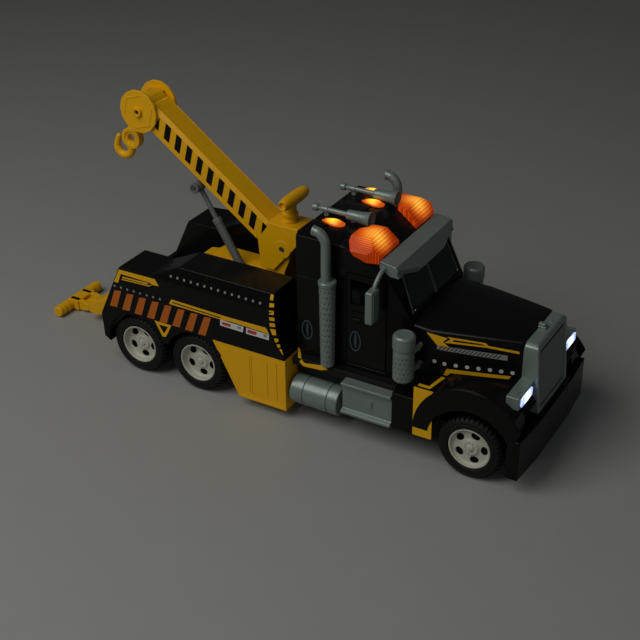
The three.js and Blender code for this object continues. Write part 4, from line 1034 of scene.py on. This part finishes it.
# ---- wheel lift
def make_stinger():
    arm = plate([(-276, 40), (-300, 40), (-330, 34), (-352, 20), (-352, 11.5), (-342, 10), (-300, 22),
            (-276, 26)], -24, 24)
    neck = plate([(-350, 19), (TOW_HINGE[0], 14), (-373.5, 11), (-373.5, 6), (TOW_HINGE[0], 3),
            (-348, 11.5)], -7, 7)
    arm = cut(fused(arm, neck), bar(*TOW_HINGE, 2.8, -10, 10), box(-277.5, -270, -30, 30, 20, 50))
    rib = [(-283, 39.4), (-283, 41), (-299, 41), (-329, 35), (-349, 22), (-348, 20), (-328, 33)]
    ribs = [rounded(plate(rib, y, y + 2.8), 0.4) for y in (-19.5, 16.7)]
    parts = [rounded(arm, 0.9, 3, 20), bar(*STINGER_PIVOT, 2.8, -32, 32), *ribs]
    add_piece("stinger_arm", parts, [YELLOW], "stinger")


def make_tow_bar():
    x, z = TOW_BAR
    cross = turned([(0, -37), (5.4, -37), (6.2, -36.2), (6.4, -34.8), (6.4, 34.8), (6.2, 36.2), (5.4, 37),
            (0, 37)], (x, 0, z), "y")
    cheek = plate([(-390, 2), (-390, 14), (-370, 14), (-362, 12), (-362, 4), (-370, 2)], 7.3, 13)
    rings = [turned([(6.2, y - 1.2), (6.8, y - 0.9), (6.8, y + 0.9), (6.2, y + 1.2)], (x, 0, z), "y")
             for y in (22, 30)]
    parts = [cross, rounded(box(-391, -376, -15, 15, 1.5, 14), 0.8, 3),
        *both(rounded(cheek, 0.7, 3), *rings), bar(*TOW_HINGE, 2.5, -10, 10)]
    add_piece("tow_bar", parts, [YELLOW], "tow_bar", 36)


def make_plain_pieces():
    """Pieces whose shape is the frame's own, with soft edges and a finish."""
    for node, width, segments, material in (
            ("chassis", 0.4, 2, BLACK_SATIN), ("bumper", 1.0, 3, BLACK), ("rear_deck", 0.6, 2, BLACK),
            ("battery_cover", 0.4, 2, BLACK_SATIN)):
        add_piece(node, [softened_node(node, width, segments)], [material])
    keep_node("sound_and_light_unit", GREY)
    for where in AXLES:
        keep_node(f"{where}_axle", STEEL)


# ---- stickers
def prints(name, groups, surface, bends=(), body="truck"):
    """Thin printed shapes on both sides; surface gives |y| at a point and bends the x of its kinks."""
    for side, label in SIDES:
        parts, materials = [], []
        for material, shapes, lift in groups:
            if material not in materials:
                materials.append(material)
            for outline in shapes:
                sheet = plate(outline, 0, PRINT)
                for x in bends:
                    bmesh.ops.bisect_plane(sheet, geom=sheet.verts[:] + sheet.edges[:] + sheet.faces[:],
                                           plane_co=(x, 0, 0), plane_no=(1, 0, 0))
                bmesh.ops.triangulate(sheet, faces=[f for f in sheet.faces if len(f.verts) > 4])
                for vert in sheet.verts:
                    vert.co.y += surface(vert.co.x, vert.co.z) - PRINT_SUNK + lift * PRINT_LAYER
                parts.append(painted(mirrored(sheet, side), materials.index(material)))
        add_piece(f"{label}_{name}", parts, materials, body, sticker=True)


def pod_surface(_x, z):
    """Half the width of the pods at z; above their shoulder the sides lean inwards."""
    return min(BODY_HALF, BODY_HALF + 1 - (z - 119) * 7 / 22)


def make_stickers():
    bars_out = []
    first = [(-258.5, 94.2), (-249.5, 95.6), (-257.2, 74.1), (-266.7, 73.6)]
    last = [(-144.2, 94.5), (-136, 95.2), (-144, 71.9), (-153.2, 71.8)]
    for i in range(8):
        t = i / 7
        bars_out.append([(a[0] + (b[0] - a[0]) * t, a[1] + (b[1] - a[1]) * t) for a, b in zip(first, last)])
    yellow = [[(-249.8, 121.1), (-203.6, 121.8), (-199.2, 114.9), (-207.4, 114.3), (-211.1, 115.9),
            (-247.8, 116.4), (-252.6, 104.5), (-257.7, 104.8)],
        [(-245.8, 113.8), (-212.1, 114.9), (-213.6, 112.9), (-246.4, 112.1)],
        [(-246.5, 110.9), (-212.3, 112.2), (-207, 114.4), (-211.8, 111.1), (-248, 109.6)],
        [(-184.3, 103.5), (-117.8, 102.3), (-70.3, 102.9), (-66.6, 96.7), (-112.4, 98.1), (-121.3, 97.1),
            (-187.6, 97.5)],
        [(-66.8, 138.9), (-63.4, 139.3), (-63.2, 133.9), (-66.7, 133.5)],
        [(-66.6, 130.5), (-61.6, 131.2), (-61.2, 127.7), (-66.4, 126.7)],
        [(-66.2, 123.4), (-60.9, 124.2), (-60.4, 120.3), (-65.9, 119.3)],
        [(-66, 116.2), (-60.0, 117.2), (-59.8, 113.5), (-65.7, 112.6)],
        [(-65.8, 109.7), (-59.6, 110.7), (-59.3, 107), (-65.6, 105.9)],
        [(-65.3, 103.2), (-58.9, 104.1), (-58.3, 97.9), (-62.8, 96.8)],
        [(-61, 93.3), (-56.8, 94.6), (-55.6, 92), (-59.4, 88.9)],
        [(-58.4, 87.2), (-54.6, 88.6), (-53.6, 86), (-56.6, 83.8)],
        [(-55.4, 82.7), (-52.4, 83.6), (-50.8, 76.5)]]
    triangle = [[(-208.3, 71.9), (-186.8, 71.9), (-195, 55.8), (-199.4, 55)]]
    triangle_in = [[(-202.9, 68.6), (-191.4, 68.7), (-196.4, 60.3), (-197.8, 60.2)]]
    slot_black = [[(-182.8, 101), (-123.6, 99.6), (-124.4, 98.4), (-183.7, 99.8)]]
    white = [[(-124.5, 97), (-96.5, 96.5), (-97.6, 89.7), (-124.9, 90.1)],
             [(-93.6, 96.5), (-66.7, 96), (-67.2, 89.6), (-93.9, 89.5)]]
    red = [[(-122.2, 95), (-111.7, 94.9), (-112.4, 91.6), (-122.4, 91.8)],
           [(-91.8, 95.1), (-81.1, 95.1), (-81.7, 91.2), (-92, 91.3)]]
    grey = [[(-103.7, 95.6), (-99.4, 95.3), (-99.9, 92.4), (-103.9, 92.5)],
            [(-72.9, 95.3), (-69, 95.3), (-69.5, 91.7), (-73.4, 91.8)]]
    row = (-257.3, -249.1, -240.9, -232.5, -224.2, -215.6, -207.5, -199.0)
    dots = [oval(x, 99.8, 1.3, 1.3, 14) for x in row]
    top_dots = []
    for i in range(14):
        t = i / 13
        top_dots.append(oval(-184.4 + t * 107.3, 129.4 - t * 1.3, 1.3, 1.3, 14))
    prints("pod_print", [(PRINT_YELLOW, yellow + triangle, 0), (PRINT_ORANGE, bars_out, 0),
            (PRINT_WHITE, white, 1), (PRINT_BLACK, slot_black + triangle_in, 1), (PRINT_RED, red, 2),
            (PRINT_GREY, grey + dots + top_dots, 2)], pod_surface)

    hood_yellow = [
        [(89.4, 129.3), (109.9, 127.1), (105.6, 122.3), (113.3, 116.4), (107.3, 115.9), (100, 117.7)],
        [(109.9, 128.6), (144.6, 128.2), (147.6, 125.6), (175.5, 124.1), (175.6, 121.6), (145.9, 123.4),
         (107.1, 121.9), (112.8, 126.4)],
        [(110.4, 93.6), (169.9, 96.2), (167.8, 92.8), (114, 89.5)],
        [(110.4, 93.6), (114, 89.5), (111.5, 86.2), (107.5, 86.2)],
    ]
    hood_dots = [oval(x, z, 2, 2, 16) for x, z in ((98.3, 99.5), (108.1, 98.6), (118.8, 98.7),
            (129.3, 98.9), (139.7, 99.3), (150.4, 99.9), (160.6, 100), (170.9, 100.1))]
    prints("hood_print", [
        (PRINT_YELLOW, hood_yellow, 0),
        (PRINT_BLACK, [[(115.8, 126.4), (141.8, 126.5), (143.8, 125.2), (114.9, 124.5)]], 1),
        (PRINT_GREY, [[(100, 117.7), (165.4, 118.1), (165.5, 112.7), (100.3, 113.2)]], 0),
        (PRINT_BLACK, [[(x, 117.4), (x + 1.1, 117.4), (x - 2.4, 113.5), (x - 3.5, 113.5)]
                       for x in (105 + 3.6 * i for i in range(16))], 1),
        (PRINT_WHITE, hood_dots, 0),
    ], lambda x, _z: hood_side(x), (92, 110, 150))

    patch = [(91.9, 86), (112, 86), (109.9, 82.6)] + arc(*FENDER, 58.6, 133, 172, 16) + [(91.9, 32)]
    corner = [(92, 40.5), (92, 31.8), (111.8, 31.8), (111.8, 54), (108.2, 49), (107.6, 40.5)]
    prints("fender_print", [(PRINT_YELLOW, [patch, corner], 0)], lambda _x, _z: 84.0)
    shelf = [(94.5, -81), (107, -81), (111.5, -56.4), (107.2, -56.4), (104.5, -77), (94.5, -77)]
    board = [(-46.4, -64.2), (-43.2, -64.2), (-36.8, -STEP_Y), (-40.5, -STEP_Y)]
    for side, label in SIDES:
        for name, outline, z in (("shelf", shelf, 86), ("board", board, 71.7)):
            stripe = prism("z", outline, z - 0.05, z + PRINT)
            add_piece(f"{label}_{name}_print", [mirrored(stripe, -side)], [PRINT_YELLOW], sticker=True)
    # A bent stripe that starts on the sleeper and runs along the running board.
    start = [(-46.4, 76.1), (-44.9, 76.1), (-43.2, 72.4), (-46.4, 72.4)]
    prints("sleeper_print", [(PRINT_YELLOW, [start], 0)], lambda _x, _z: CAB_HALF)
    run = [(-36.6, 71), (-32.8, 67.5), (-10.4, 71.3), (-6.6, 67.8), (-14.3, 65.1), (-34.4, 63.5),
        (-39, 67.2)]
    prints("step_print", [(PRINT_YELLOW, [run], 0)], lambda _x, _z: STEP_Y)
    # Dark panels along the boom, drawn in its own (distance, height).
    panels = [[(u - 0.8, 8.2), (u + 7, 8.2), (u + 0.4, -8), (u - 7.4, -8)]
              for u in (42.4 + 15.6 * i for i in range(9))]
    panels += [[(33.2, 8), (26.8, 8), (26.6, -5)], [(182.9, 8), (176.2, -6.5), (182.7, -6.5)]]
    outlines = [[along(u, v) for u, v in panel] for panel in panels]
    prints("boom_print", [(PRINT_BLACK, outlines, 0)], lambda _x, _z: BOOM_HALF, (), "boom")


# ---- build
make_wheels()
make_plain_pieces()
make_cab()
make_doors()
make_sleeper()
make_hood()
make_grille()
make_visor()
make_beacons()
make_marker_lights()
make_horns()
make_stacks()
make_air_cleaners()
make_tanks()
make_tool_boxes()
make_skirts()
make_pods()
make_turret()
make_boom()
make_reel()
make_grip()
make_hook()
make_lift_cylinder()
make_stinger()
make_tow_bar()
make_stickers()


# ---- floor, light, camera
def make_stage():
    reach = 4.0
    mesh = bpy.data.meshes.new("floor")
    corners = [(-reach, -reach, 0), (reach, -reach, 0), (reach, reach, 0), (-reach, reach, 0)]
    mesh.from_pydata(corners, [], [(0, 1, 2, 3)])
    paper = moulded("floor_paper", (0.33, 0.333, 0.32), 0.62, mottle=0.03, grain=700, depth=0.05)
    mesh.materials.append(paper)
    added("floor", mesh)

    world = bpy.data.worlds.new("studio")
    world.use_nodes = True
    sky = world.node_tree.nodes["Background"].inputs
    sky["Color"].default_value = (0.80, 0.84, 0.88, 1)
    sky["Strength"].default_value = 0.045
    bpy.context.scene.world = world

    aim = Vector((0.0, 0.0, 0.08))
    for name, place, watts, colour in (("key", (-0.45, -1.0, 1.4), 13.5, (1.0, 0.98, 0.93)),
                                       ("fill", (1.3, -1.3, 1.0), 1.8, (0.95, 0.97, 1.0))):
        lamp = bpy.data.lights.new(name, "AREA")
        lamp.shape = "SQUARE"
        lamp.size = 1.2
        lamp.energy = watts
        lamp.color = colour
        holder = added(name, lamp)
        holder.location = place
        holder.rotation_euler = (aim - Vector(place)).to_track_quat("-Z", "Y").to_euler()


def make_camera():
    azimuth, elevation, roll = (math.radians(a) for a in (30.342, 30.218, -0.464))
    away = Vector((math.sin(azimuth) * math.cos(elevation), -math.cos(azimuth) * math.cos(elevation),
                   math.sin(elevation)))
    right = Vector((math.cos(azimuth), math.sin(azimuth), 0))
    up = away.cross(right)
    c, s = math.cos(roll), math.sin(roll)
    right, up = c * right + s * up, c * up - s * right
    data = bpy.data.cameras.new("camera")
    data.sensor_width = 36
    data.lens = 71.32
    data.clip_start = 0.05
    data.clip_end = 20
    camera = added("camera", data)
    turn = Matrix((right, up, away)).transposed().to_4x4()
    camera.matrix_world = Matrix.Translation((0.61368, -0.98409, 0.73625)) @ turn
    bpy.context.scene.camera = camera


make_stage()
make_camera()
bpy.context.scene.view_settings.view_transform = "Standard"
